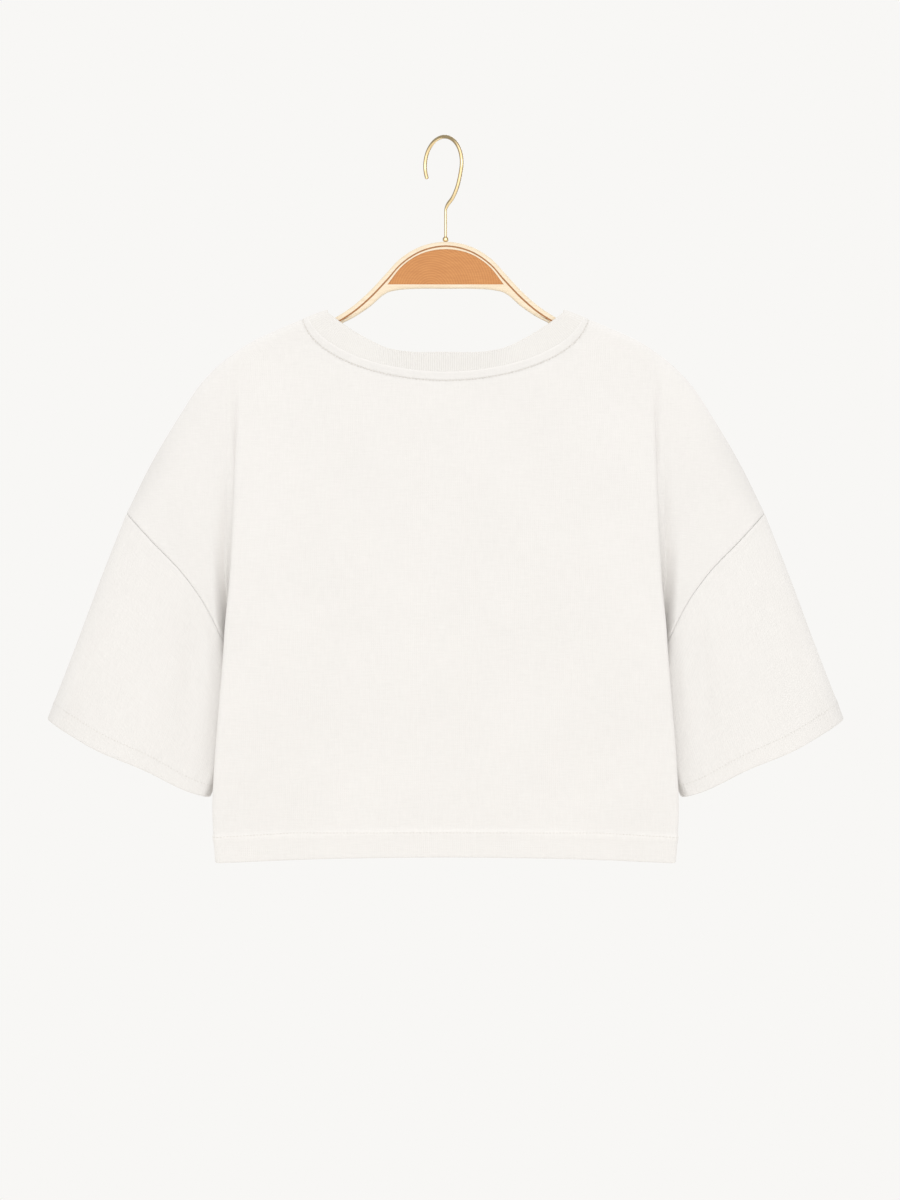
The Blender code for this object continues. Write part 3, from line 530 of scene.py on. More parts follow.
def cumulative(grid, axis):  # lengths along a grid's rows (1) or columns (0)
    steps = np.linalg.norm(np.diff(grid, axis=axis), axis=-1)
    pad = [(0, 0), (0, 0)]
    pad[axis] = (1, 0)
    return np.pad(np.cumsum(steps, axis=axis), pad)


# creases: in millimetres, x to the viewer's right, as lines of (x, z, reach to a side,
# height above the cloth, minus for a trough)

backCreases = [
    # faint flutes that open towards the hem
    [(-120, -455, 20, 0), (-122, -560, 24, -1.2), (-124, -640, 28, -2.6), (-126, -690, 30, -3.2)],
    [(-62, -430, 22, 0.0), (-64, -560, 26, 1.0), (-66, -640, 28, 2.0), (-67, -690, 30, 2.4)],
    [(6, -420, 20, 0.0), (4, -540, 24, -1.3), (3, -620, 27, -2.0), (2, -690, 30, -2.6)],
    [(66, -450, 22, 0.0), (65, -560, 26, 1.1), (66, -640, 28, 2.2), (68, -690, 30, 2.6)],
    [(128, -430, 20, 0.0), (136, -560, 25, -1.6), (140, -630, 28, -2.8), (142, -690, 30, -3.2)],
    # drags from the neck points
    [(-136, -181, 3.5, 0.0), (-126, -190, 3.5, -1.0), (-112, -196, 4, 0.0)],
    [(-128, -199, 4, 0.0), (-116, -207, 5, -0.9), (-98, -213, 6, 0.0)],
    [(136, -181, 3.5, 0.0), (127, -188, 3.5, -1.0), (113, -193, 4, 0.0)],
    [(129, -198, 4, 0.0), (115, -206, 5, -0.8), (98, -211, 6, 0.0)],
    # the streak that runs into the side fold on the yoke
    [(-228, -262, 7, 0.0), (-222, -300, 7, -1.3), (-217, -340, 7, -1.3), (-212, -380, 6, 0.0)],
    [(228, -266, 7, 0.0), (222, -305, 7, -1.1), (217, -345, 7, -1.2), (212, -384, 6, 0.0)],
    # under the shoulder blades
    [(-176, -235, 14, 0.0), (-168, -300, 18, -1.4), (-150, -380, 24, 0.0)],
    [(178, -240, 14, 0.0), (166, -310, 18, -1.5), (146, -400, 24, 0.0)],
]
frontCreases = [
    [(-104, -440, 22, 0.0), (-110, -560, 26, -1.8), (-114, -690, 30, -3.4)],
    [(-38, -470, 22, 0.0), (-44, -600, 26, 1.6), (-46, -690, 30, 2.4)],
    [(26, -440, 22, 0.0), (24, -580, 26, -1.8), (22, -690, 30, -2.8)],
    [(92, -420, 22, 0.0), (96, -560, 27, 1.6), (100, -690, 30, 2.8)],
    [(150, -450, 20, 0.0), (154, -580, 24, -1.8), (156, -690, 28, -3.0)],
    [(-130, -200, 5, 0.0), (-112, -226, 6, -1.4), (-84, -262, 8, 0.0)],
    [(132, -204, 5, 0.0), (110, -232, 6, -1.3), (82, -270, 8, 0.0)],
    [(-226, -262, 7, 0.0), (-220, -310, 7, -1.3), (-213, -374, 6, 0.0)],
    [(224, -266, 7, 0.0), (218, -310, 7, -2.4), (208, -372, 5, 0.0)],
    [(-170, -240, 16, 0.0), (-158, -320, 20, -1.7), (-138, -410, 26, 0.0)],
    [(172, -236, 16, 0.0), (162, -306, 20, -1.6), (144, -396, 26, 0.0)],
]
sleeveCreases = {
    "back": [
        [(-296, -372, 8, 0.0), (-300, -430, 10, -1.8), (-312, -500, 14, 0.0)],
        [(-262, -392, 8, 0.0), (-262, -450, 10, 1.4), (-268, -540, 14, 1.0), (-272, -590, 16, 0)],
        [(-238, -424, 7, 0.0), (-236, -470, 8, -2.2), (-240, -540, 10, -1.6), (-246, -600, 12, 0)],
        [(-222, -456, 6, 0.0), (-221, -490, 6, 1.2), (-224, -540, 8, 0.8), (-228, -580, 10, 0)],
        [(-330, -470, 12, 0.0), (-334, -520, 14, -1.6), (-348, -556, 16, -2.2)],
        [(300, -376, 8, 0.0), (302, -436, 10, -1.6), (314, -506, 14, 0.0)],
        [(260, -394, 8, 0.0), (264, -460, 10, 1.5), (272, -548, 14, 1.0), (276, -592, 16, 0)],
        [(236, -426, 7, 0.0), (238, -476, 8, -2.0), (243, -546, 10, -1.6), (248, -600, 12, 0)],
        [(220, -458, 6, 0.0), (222, -494, 6, 1.2), (225, -544, 8, 0.8), (229, -580, 10, 0)],
        [(328, -466, 12, 0.0), (336, -516, 14, -1.6), (350, -554, 16, -2.2)],
    ],
    "front": [
        [(-290, -380, 9, 0.0), (-296, -440, 11, -1.8), (-306, -520, 14, 0.0)],
        [(-248, -412, 8, 0.0), (-248, -470, 10, -2.0), (-256, -560, 13, 0.0)],
        [(-270, -400, 8, 0.0), (-274, -470, 11, 1.4), (-282, -560, 14, 0.0)],
        [(292, -382, 9, 0.0), (298, -446, 11, -1.8), (308, -524, 14, 0.0)],
        [(250, -410, 8, 0.0), (252, -474, 10, -2.0), (258, -566, 13, 0.0)],
        [(272, -398, 8, 0.0), (276, -466, 11, 1.4), (284, -556, 14, 0.0)],
    ],
}


def creaseHeight(x, z, creases):  # how far the creases lift the cloth at x, z
    place = np.stack([x.ravel(), z.ravel()], axis=1) * 1000
    total = np.zeros(len(place))
    for line in creases:
        line = np.array(line, dtype=float)
        fine = along(fineCurve(line[:, :2], 40), np.linspace(0, 1, 40))
        share = lengthsAlong(line[:, :2])
        at = np.linspace(0, share[-1], 40)
        reach, height = np.interp(at, share, line[:, 2]), hermite(share, line[:, 3], at)
        near = np.linalg.norm(place[:, None] - fine, axis=-1)
        k = near.argmin(axis=1)
        total += height[k] * glow(near[np.arange(len(place)), k], reach[k])
    return total.reshape(x.shape) / 1000


def bandRelief(distance, width, share=1.0):  # a turned-up band's stitched step, rolled edge
    # distance is from the open edge; share is how plainly the step shows
    step = band["step"] * smoothStep((width + band["stepReach"] - distance) / band["stepReach"])
    groove = band["groove"] * glow(distance - width + 0.0004, band["grooveReach"])
    swell = band["swell"] * glow(distance - width + 0.0010, band["swellReach"])
    rolled = band["rolled"] * np.clip(1 - distance / band["rolledReach"], 0, 1)**2
    return share * (step - groove + swell) - rolled


paintedShadingTable = {  # painted light and shade: how much paler or deeper the colour is painted, and the reach of that in metres
    "worn": (-0.085, 0.012), "paintedShoulderShadeHeight": (-0.322, 0.050), "paintedFoldLight": (0.15, 0.010),
    "paintedFoldLightBelow": (-0.340, 0.060), "paintedTopShade": (-0.045, 0.020),
    "paintedCuffCornerShade": (-0.060, 0.030), "paintedUnderarmLight": (0.16, 0.012),
}


def paintedShadingAt(name, distance):
    share, reach = paintedShadingTable[name]
    return share * glow(distance, reach)


def yokePaintedShading(yoke, fromValley):
    # painted shade along the shoulder's crease, and painted light in the side fold's recess, which
    # lies in shade
    place, (middle, spread), (top, over) = (
        yoke[..., [0, 2]], paintedShadingTable["paintedShoulderShadeHeight"], paintedShadingTable["paintedFoldLightBelow"])
    worn = paintedShadingAt("worn", ridgeDistance(place)) * glow(place[..., 1] - middle, spread)
    return 1 + worn + paintedShadingAt("paintedFoldLight", fromValley) * smoothStep((top - place[..., 1]) / over)


def sleevePaintedShading(sleeve):
    # painted shade along the top crease and at the cuff's outer corner, and painted light under
    # the arm, where the body shades the sleeve
    places = {"paintedTopShade": sleeve[:, :1], "paintedCuffCornerShade": sleeve[-1, 0], "paintedUnderarmLight": sleeve[:, -1:]}
    return 1 + sum(paintedShadingAt(name, np.linalg.norm(sleeve - place, axis=-1))
                   for name, place in places.items())


def pucker(distance, position, width):  # the small waves that stitches pull into a hem
    short, long = (np.sin(position * math.tau / pitch) for pitch in band["pitches"])
    return band["wave"] * (short + 0.6 * long) * glow(distance - width + 0.001, band["waveReach"])


def seamGroove(distance, depth=0.0005, reach=0.0011, swell=0.0003):
    return -depth * glow(distance, reach) + swell * glow(distance - 0.0035, 0.0020)


def nearLine(grid, line):  # distance of a grid's points from a line in x, z
    return np.linalg.norm(grid[:, :, None, [0, 2]] - line, axis=-1).min(-1)


strip = {
    "widths": np.array((0, .0005, .0010, .0016, .0026, .0042, .0058, .0069, .0075, .0079,
                        .0083, .0086)),
    # its height above the body at some widths
    "liftAt": (0, .0008, .0018, .0050, .0072, .0077, .0083, .0086),
    "lift": (.0000, .0004, .0005, .0004, .0004, .0002, -.0006, -.0008),
    "ditch": 0.0008, "shoulderDitch": 0.0006, "ditchReach": 0.0011,
    # the strip's tone, and a painted highlight along its upper rim with its reach
    "tone": 0.985, "paintedRimHighlight": 0.055, "paintedRimHighlightReach": 0.0016,
}
band = {  # heights and reaches of a turned-up band's relief, and of its small waves
    "step": 0.0003, "stepReach": 0.0042, "groove": 0.00003, "grooveReach": 0.0009,
    "swell": 0.0005, "swellReach": 0.0034, "rolled": 0.0008, "rolledReach": 0.0016,
    "wave": 0.00018, "waveReach": 0.006, "pitches": (0.0052, 0.0137),
    # a painted highlight along the hem's stitched edge, and its reach
    "paintedHemHighlight": 0.046, "paintedHemHighlightReach": 0.0026, "cuffShare": 0.3,
}
layout = {  # where the pieces lie on the cloth's map, and where creases fade out
    "frontU": 1.3, "shoulderU": 0.135, "yokeU": 0.235, "foldCalm": 0.02, "valleyCalm": 0.012,
    "cuffCalm": 8, "rowsByStrip": 12,
}


def clothPatches():
    # every patch of the four cloth pieces: its piece, its points, uv, lift, band, and tone with
    # painted light and shade
    shares, armpit = rowShares()
    edge = foldLine("edgeX", garment["hemCorner"], garment["foldRadius"])
    yoke = yokeGrid()
    lower = foldLine("valleyX", garment["hemSide"])[armpit + 1:]
    valley = np.vstack([yoke[:, 0], withDepth(lower, np.zeros(len(lower)))])
    fold = foldGrid(onBody(edge), valley, armpit)
    sleeve = sleeveGrid(yoke[:, -1])
    widths, reach = strip["widths"], strip["ditchReach"]
    stripLift = np.interp(widths, strip["liftAt"], strip["lift"])[:, None]
    # the strip's tone, with a painted highlight along its upper rim
    stripToneAndPaintedHighlight = (strip["tone"] + strip["paintedRimHighlight"] * glow(widths, strip["paintedRimHighlightReach"]))[:, None]
    hemBand, hemStart = garment["hemBand"], len(shares) - len(fromHemEdge) + hemStitches - 2
    patches = []
    for face, ySign in (("back", -1), ("front", 1)):
        collar = onBody(np.stack([besideNeck(face, width) for width in widths]))
        shoulder, body = onBody(shoulderPoints(face)), onBody(bodyPoints(face))
        bodyAcross, neckLength = cumulative(body, 1), cumulative(collar, 1)
        stripEdge = besideNeck(face, garment["neckStrip"])
        creases = backCreases if face == "back" else frontCreases
        panel = face + "_panel"
        for xSign in (-1, 1):
            def lifted(grid, lines):
                return creaseHeight(grid[..., 0] * xSign, grid[..., 2], lines)

            def addPatch(piece, kind, grid, u, v, lift, band=0.0, tone=1.0):
                onMap = u * xSign + (0 if ySign < 0 else layout["frontU"])
                patches.append({
                    "piece": piece, "kind": (kind, face, xSign),
                    "points": grid * (xSign, ySign, 1), "uv": np.stack([onMap, v], axis=-1),
                    "lift": lift, "band": np.broadcast_to(band, lift.shape),
                    "tone": np.broadcast_to(tone, lift.shape),
                    "mirrored": xSign == ySign})

            def hemmed(grid, across):  # the turned-up hem's lift and painted highlight
                fromHem = cumulative(grid[::-1], 0)[::-1]
                return (bandRelief(fromHem, hemBand)
                        + pucker(fromHem, across * xSign + ySign, hemBand),
                        # a painted highlight along the band's stitched edge
                        1 + band["paintedHemHighlight"] * glow(fromHem - hemBand + 0.0002,
                                                 band["paintedHemHighlightReach"]))

            def turned(grid, start):  # 1 on the rows of a turned-up band
                return (np.arange(len(grid)) >= start)[:, None] * 1.0

            addPatch(panel, "strip", collar, neckLength, -widths[:, None] + 0 * neckLength,
                     stripLift + lifted(collar, creases), 1.0, stripToneAndPaintedHighlight)
            below, rows = np.zeros(body.shape[:2]), layout["rowsByStrip"]
            below[:rows] = -strip["ditch"] * glow(nearLine(body[:rows], stripEdge[::2]), reach)
            hemLift, hemPaintedHighlight = hemmed(body, bodyAcross)
            addPatch(panel, "body", body, bodyAcross, body[..., 2],
                     lifted(body, creases) + below + hemLift, turned(body, hemStart - topRows),
                     hemPaintedHighlight)
            addPatch(panel, "shoulder", shoulder, cumulative(shoulder, 1) + layout["shoulderU"],
                     shoulder[..., 2], lifted(shoulder, creases)
                     - strip["shoulderDitch"] * glow(nearLine(shoulder, stripEdge), reach))
            foldAcross = cumulative(fold, 1)
            foldU = foldAcross + np.r_[np.full(topRows, bodyAcross[0, -1]),
                                       bodyAcross[:, -1]][:, None]
            hemLift, hemPaintedHighlight = hemmed(fold, foldAcross)
            addPatch(panel, "fold", fold, foldU, fold[..., 2],
                     lifted(fold, creases) * (1 - smoothStep(foldAcross / layout["foldCalm"]))
                     + hemLift, turned(fold, hemStart), hemPaintedHighlight)
            toSeam = np.linalg.norm(yoke - yoke[:, -1:], axis=-1)
            fromValley = np.linalg.norm(yoke - yoke[:, :1], axis=-1)
            addPatch(panel, "yoke", yoke, cumulative(yoke, 1) + layout["yokeU"], yoke[..., 2],
                     lifted(yoke, creases + sleeveCreases[face])
                     * smoothStep(fromValley / layout["valleyCalm"]) + seamGroove(toSeam),
                     tone=yokePaintedShading(yoke, fromValley))
            fromArmhole, aroundSleeve = cumulative(sleeve, 0), cumulative(sleeve, 1)
            fromCuff = cumulative(sleeve[::-1], 0)[::-1]
            calm = smoothStep(np.minimum(downShares, 1 - downShares) * layout["cuffCalm"])
            lift = (lifted(sleeve, sleeveCreases[face]) * calm + seamGroove(fromArmhole)
                    + bandRelief(fromCuff, garment["cuffBand"], band["cuffShare"])
                    + pucker(fromCuff, aroundSleeve * xSign + ySign, garment["cuffBand"]))
            addPatch(("left" if xSign < 0 else "right") + "_sleeve", "sleeve", sleeve[:, ::-1],
                     aroundSleeve[:, ::-1], -fromArmhole[:, ::-1], lift[:, ::-1],
                     turned(sleeve, len(sleeve) - len(fromCuffEdge) + cuffStitches - 2),
                     sleevePaintedShading(sleeve)[:, ::-1])
    return patches


def weldPatches(patches):
    # one list of points for the whole garment, lifted along its normals, and each patch's quads
    points = np.vstack([p["points"].reshape(-1, 3) for p in patches])
    points[np.abs(points) < 1e-6] = 0
    lifts = np.concatenate([p["lift"].ravel() for p in patches])
    keys = np.floor(points / 2e-5 + 0.3137).astype(np.int64)
    _, first, number = np.unique(keys, axis=0, return_index=True, return_inverse=True)
    number = number.reshape(-1)
    lift = np.bincount(number, lifts) / np.bincount(number)
    points = points[first]
    start = 0
    for patch in patches:
        shape = patch["points"].shape[:2]
        corner = np.arange(shape[0] * shape[1]).reshape(shape)
        patch["grid"] = grid = number[start + corner]
        start += corner.size
        turn = -1 if patch["mirrored"] else 1
        patch["quads"], patch["corners"] = (
            np.stack([g[:-1, :-1], g[1:, :-1], g[1:, 1:], g[:-1, 1:]],
                     axis=-1).reshape(-1, 4)[:, ::turn] for g in (grid, corner))
    quads = np.vstack([p["quads"] for p in patches])
    normals = np.zeros_like(points)
    for turn in range(4):
        here, ahead, behind = (quads[:, (turn + k) % 4] for k in (0, 1, 3))
        a, b = points[ahead] - points[here], points[behind] - points[here]
        face = np.cross(a, b)
        size = np.linalg.norm(a, axis=1) * np.linalg.norm(b, axis=1)
        face /= np.maximum(size, 1e-12)[:, None]
        for axis in range(3):
            normals[:, axis] += np.bincount(here, face[:, axis], len(points))
    armpit = armholeLine[-1]
    atArmpit = ((np.abs(np.abs(points[:, 0]) - armpit[0]) < 1e-4) & (points[:, 1] == 0)
                & (np.abs(points[:, 2] - armpit[1]) < 1e-4))
    normals[atArmpit] = (0, 0, -1)
    normals /= np.maximum(np.linalg.norm(normals, axis=1), 1e-9)[:, None]
    return points + normals * lift[:, None], normals


def addMesh(name, points, faces, material, uv=None):
    mesh = bpy.data.meshes.new(name)
    mesh.from_pydata(points, [], faces)
    if uv is not None:
        layer = mesh.uv_layers.new(name="cloth")
        layer.data.foreach_set("uv", np.asarray(uv, dtype=np.float32).ravel())
    mesh.materials.append(material)
    mesh.update()
    mesh.shade_smooth()
    obj = bpy.data.objects.new(name, mesh)
    bpy.context.scene.collection.objects.link(obj)
    return obj


def makeClothPiece(name, patches, points, material):
    quads, uv, band, tone = [], [], {}, {}
    for patch in patches:
        flatUv = patch["uv"].reshape(-1, 2)
        for quad, corner in zip(patch["quads"].tolist(), patch["corners"].tolist()):
            kept = [k for k in range(4) if quad[k] != quad[k - 1]]
            if len(kept) > 2 and len(set(quad)) == len(kept):
                quads.append([quad[k] for k in kept])
                uv.extend(flatUv[corner[k]] for k in kept)
        for values, key in ((band, "band"), (tone, "tone")):
            values.update(zip(patch["quads"].ravel().tolist(),
                              patch[key].ravel()[patch["corners"].ravel()].tolist()))
    used = sorted({number for quad in quads for number in quad})
    place = {number: k for k, number in enumerate(used)}
    obj = addMesh(name, points[used].tolist(), [[place[n] for n in quad] for quad in quads],
                  material, uv)
    # the tone is painted light and shade, which the cloth's material multiplies into its colour
    attribute = obj.data.attributes.new("tone", "FLOAT", "POINT")
    attribute.data.foreach_set("value", [tone[n] for n in used])
    turnedUp = obj.vertex_groups.new(name="turnedUp")
    for weight in (garment["wall"] / garment["bandWall"], 1.0):
        members = [place[n] for n in used if (band[n] > 0.5) == (weight == 1.0)]
        turnedUp.add(members, weight, "REPLACE")
    wall = obj.modifiers.new("wall", "SOLIDIFY")
    wall.thickness, wall.offset = garment["bandWall"], -1
    wall.vertex_group = "turnedUp"
    return obj


def pullSeams(objects, gap=0.00005):
    # the pieces part by a hair along their seams
    def placeOf(vert):
        return tuple(int(math.floor(c / 1e-6 + 0.5)) for c in vert.co)

    shared = {}
    for obj in objects:
        for vert in obj.data.vertices:
            shared.setdefault(placeOf(vert), set()).add(obj.name)
    for obj in objects:
        verts, ways = obj.data.vertices, {}
        for edge in obj.data.edges:
            a, b = edge.vertices
            ways.setdefault(a, []).append(b)
            ways.setdefault(b, []).append(a)
        onSeam = {vert.index for vert in verts if len(shared[placeOf(vert)]) > 1}
        for k in onSeam:
            inner = [verts[n].co - verts[k].co for n in ways[k] if n not in onSeam]
            if inner:
                verts[k].co += sum(inner, Vector()).normalized() * gap


clothPatchList = clothPatches()
clothPoints, clothNormals = weldPatches(clothPatchList)
panels = {}
for node in ("back_panel", "front_panel", "left_sleeve", "right_sleeve"):
    own = [p for p in clothPatchList if p["piece"] == node]
    pieceName = "".join(w.capitalize() if k else w for k, w in enumerate(node.split("_")))
    panels[node] = makeClothPiece(pieceName, own, clothPoints, jerseyCloth)
    print(pieceName, len(panels[node].data.polygons), "faces")
pullSeams(list(panels.values()))


# the neck rib: one folded band of ribs all round the neck

def smoothed(line, times):  # a closed line or its directions, each point drawn to its fellows
    for _ in range(times):
        line = (np.roll(line, 1, 0) + 2 * line + np.roll(line, -1, 0)) / 4
    return line


def makeNeckRib():
    collar = {"ribs": 352, "pointsToRib": 6, "relief": 0.00045, "half": 0.0009, "lean": 0.0022,
              "height": 0.019, "calmFrom": 0.040, "calmTo": 0.075, "calmShare": 0.4,
              "calmHeight": 0.75}
    loops = []
    for face, ySign in (("back", -1), ("front", 1)):
        seam, edge = besideNeck(face, 0.0), fineCurve(ribEdge[face])
        # the ribs stand upright at the middle and lean in towards the shoulders
        shares = sharesAlong(seam)
        longer = lengthsAlong(seam)[-1] / lengthsAlong(edge)[-1] - 1
        edge = along(edge, shares * (1 + longer * (1 - shares**2)))
        edge[-1] = onRidge(edge[-1, 0])
        lean = collar["lean"] * np.cos(np.radians(neckAngles))
        halves = onBody(seam), withDepth(edge, bodyDepth(edge) - lean)
        loops.append([np.vstack([half[::-1] * (-1, 1, 1), half[1:]])[::-ySign] * (1, ySign, 1)
                      for half in halves])
    count = collar["ribs"] * collar["pointsToRib"]
    seam, edge = (np.vstack([back[:-1], front[:-1], back[:1]]) for back, front in zip(*loops))
    mix = (sharesAlong(edge) + sharesAlong(seam)) / 2
    at = np.arange(count) / count
    seam, edge = (np.column_stack([np.interp(at, mix, column) for column in chain.T])
                  for chain in (seam, edge))
    # smooth the ribs' root line a little, so that the corner at the ridge is round
    edge = smoothed(edge, 12)
    height = np.linalg.norm(edge - seam, axis=1, keepdims=True)
    up = unit(edge - seam)
    out = unit(smoothed(unit(np.cross(np.roll(seam, -1, 0) - np.roll(seam, 1, 0), up)), 30))
    rib = np.abs(np.sin(at * collar["ribs"] * math.pi))**0.8
    # the ribs flatten where the band is stretched over the shoulders
    calm = smoothStep((np.abs(edge[:, 0]) - collar["calmFrom"])
                      / (collar["calmTo"] - collar["calmFrom"])) * (1 - collar["calmShare"])
    rib = rib * (1 - calm) + collar["calmHeight"] * calm
    # the band's section: share of its height, offset outward, share of the rib's relief
    section = [
        (-0.10, 0.2, 0.1), (-0.04, 0.8, 0.4), (0.0, 1.05, 0.7), (0.05, 1.15, 0.9), (0.14, 1.2, 1),
        (0.30, 1.25, 1), (0.45, 1.2, 1), (0.60, 1.15, 1), (0.75, 1.0, 1), (0.88, 1.0, 1),
        (0.95, 0.85, 1), (0.985, 0.5, 0.9), (1.0, 0.0, 0.8), (0.985, -0.5, 0.9),
        (0.95, -0.85, 1), (0.85, -1.0, 1), (0.6, -1.0, 1), (0.3, -1.0, 1), (-0.08, -0.95, 0.8)]
    half, rows = collar["half"], []
    for share, offset, relief in section:
        grow = (rib * collar["relief"] * relief)[:, None]
        place = seam + up * height * share + out * (half * offset - half)
        rows.append(place + out * grow * np.sign(offset) + up * grow * (share > 0.94))
    numbers = np.arange(len(section) * count).reshape(len(section), count)
    ahead, below = np.roll(numbers, -1, 1), np.roll(numbers, -1, 0)
    quads = np.stack([numbers, ahead, np.roll(below, -1, 1), below], axis=-1).reshape(-1, 4)
    down = np.cumsum([0] + [abs(b[0] - a[0]) * collar["height"] + abs(b[1] - a[1]) * half
                            for a, b in zip(section, section[1:])])
    uvGrid = np.stack(np.broadcast_arrays(lengthsAlong(edge)[None, :], down[:, None]),
                      axis=-1).reshape(-1, 2)
    obj = addMesh("neckRib", np.vstack(rows).tolist(), quads.tolist(), ribCloth,
                  uvGrid[quads.ravel()])
    attribute = obj.data.attributes.new("ribHeight", "FLOAT", "POINT")
    attribute.data.foreach_set("value", np.tile(rib, len(section)).astype(np.float32))
    return obj


neckRib = makeNeckRib()
print("neckRib", len(neckRib.data.polygons), "faces")


# stitches

def stitchRow(name, line, normal, pitch, length, width, lift):
    # one mesh of short stitches along a line; each dips into the cloth at its ends
    lengths = lengthsAlong(line)
    count = int(lengths[-1] / pitch)
    # along the stitch: share of its length, of its width, height above the cloth
    rings = ((0.0, 0.25, -0.5), (0.18, 0.85, 0.35), (0.5, 1.0, 0.6), (0.82, 0.85, 0.35),
             (1.0, 0.25, -0.5))
    corners, flatness = 6, 0.7
    start = (np.arange(count) + 0.5 - 0.5 * length / pitch) * pitch

    def at(s, chain):
        return np.column_stack([np.interp(s, lengths, column) for column in chain.T])

    middle = at(start + length * 0.5, line)
    tangent = unit(at(start + length * 0.5 + 1e-4, line) - middle)
    up = unit(at(start + length * 0.5, normal))
    side = np.cross(up, tangent)
    verts, faces = [], []
    for share, thick, rise in rings:
        centre = middle + tangent * length * (share - 0.5) + up * (lift + rise * width)
        for angle in np.arange(corners) * math.tau / corners:
            verts.append(centre + (side * math.cos(angle) + up * math.sin(angle) * flatness)
                         * width * thick / 2)
    for base in range(0, count * len(verts), len(verts)):
        for ring in range(base, base + len(verts) - corners, corners):
            for c in range(corners):
                a, b = ring + c, ring + (c + 1) % corners
                faces.append([a, b, b + corners, a + corners])
        faces.append([base + c for c in reversed(range(corners))])
        faces.append([base + len(verts) - corners + c for c in range(corners)])
    return addMesh(name, np.stack(verts, axis=1).reshape(-1, 3).tolist(), faces, threadStuff)


def rowOf(kinds, face, xSign, row):  # point numbers along a row of one side's patches
    return np.concatenate([p["grid"][row] for kind in kinds for p in clothPatchList
                           if p["kind"] == (kind, face, xSign)])


def lineOver(*rows):  # points and outward directions along joined rows
    numbers = np.concatenate(rows)
    numbers = numbers[np.r_[True, numbers[1:] != numbers[:-1]]]
    return clothPoints[numbers], clothNormals[numbers]


def joinRows(name, rows):
    # rows of stitches made one piece
    bpy.ops.object.select_all(action="DESELECT")
    for obj in rows:
        obj.select_set(True)
    bpy.context.view_layer.objects.active = rows[0]
    bpy.ops.object.join()
    rows[0].name = rows[0].data.name = name
    return rows[0]


def makeStitching():
    seam = {"pitch": 0.0031, "lift": 0.0001}
    sizes = {"neck": {"length": 0.0021, "width": 0.00095},
             "hem": {"length": 0.0021, "width": 0.00045},
             "cuff": {"length": 0.0019, "width": 0.00030}}
    neckRow, hemRow = -2, hemStitches - len(fromHemEdge)
    cuffRow = cuffStitches - len(fromCuffEdge)
    made = {}

    def sew(name, size, lines):
        rows = [stitchRow(f"{name}{k}", line, normal, **seam, **sizes[size])
                for k, (line, normal) in enumerate(lines)]
        made[name] = joinRows(name, rows)

    for name, size, kinds, row in (("neckStitches", "neck", ["strip"], neckRow),
                                   ("hemStitches", "hem", ["body", "fold"], hemRow)):
        sew(name, size, [lineOver(rowOf(kinds, face, -1, row)[::-1], rowOf(kinds, face, 1, row))
                         for face in ("back", "front")])
    for name, xSign in (("leftCuffStitches", -1), ("rightCuffStitches", 1)):
        back, front = (rowOf(["sleeve"], face, xSign, cuffRow) for face in ("back", "front"))
        sew(name, "cuff", [lineOver(back, front[::-1])])
    return made


stitches = makeStitching()
print("stitches", sum(len(o.data.polygons) for o in stitches.values()), "faces")
print("cloth done")


# the hanger, modelled flat in its own plane and then given its depth

hanger = {
    "depth": 0.0100, "armThickness": 0.0102, "armClearance": 0.0007, "round": 0.0024,
    "outerLamina": [(0.000, 0.0034), (0.040, 0.0041), (0.075, 0.0039)],  # x and thickness
    "darkVeneer": 0.0015, "veneerSunk": 0.0001, "innerOnArm": 0.80,
    "carriesFrom": 0.166, "tipX": 0.202, "infillDepth": 0.0090, "infillGap": 0.00002,
    "bowStations": 14, "armStations": 26, "infillStations": 24, "settleStations": 4,
    "top": [(0.0000, -0.0967), (0.0239, -0.1013), (0.0425, -0.1125), (0.0565, -0.1274),
            (0.0705, -0.1424), (0.0873, -0.1573), (0.1032, -0.1676), (0.1160, -0.1740),
            (0.1330, -0.1795), (0.1500, -0.1835)],
    "low": [(0.0000, -0.1402), (0.0267, -0.1402), (0.0444, -0.1414), (0.0519, -0.1429),
            (0.0565, -0.1447), (0.0612, -0.1484), (0.0687, -0.1554), (0.0780, -0.1620),
            (0.0869, -0.1676), (0.0966, -0.1722)],
    "arch": [(0.0000, -0.1037), (0.0239, -0.1084), (0.0400, -0.1190), (0.0542, -0.1366)],
}


def offsetCurve(chain, distance):
    return chain + unit(squareTo(chain)) * distance


def levelAtMiddle(points):  # the right half of a mirrored curve, so it has no corner at x = 0
    points = np.array(points)
    whole = fineCurve(np.vstack([points[:0:-1] * (-1, 1), points]), 601)
    return whole[300:] * (whole[300:, :1] > 1e-6) + (0, whole[300, 1]) * (whole[300:, :1] <= 1e-6)


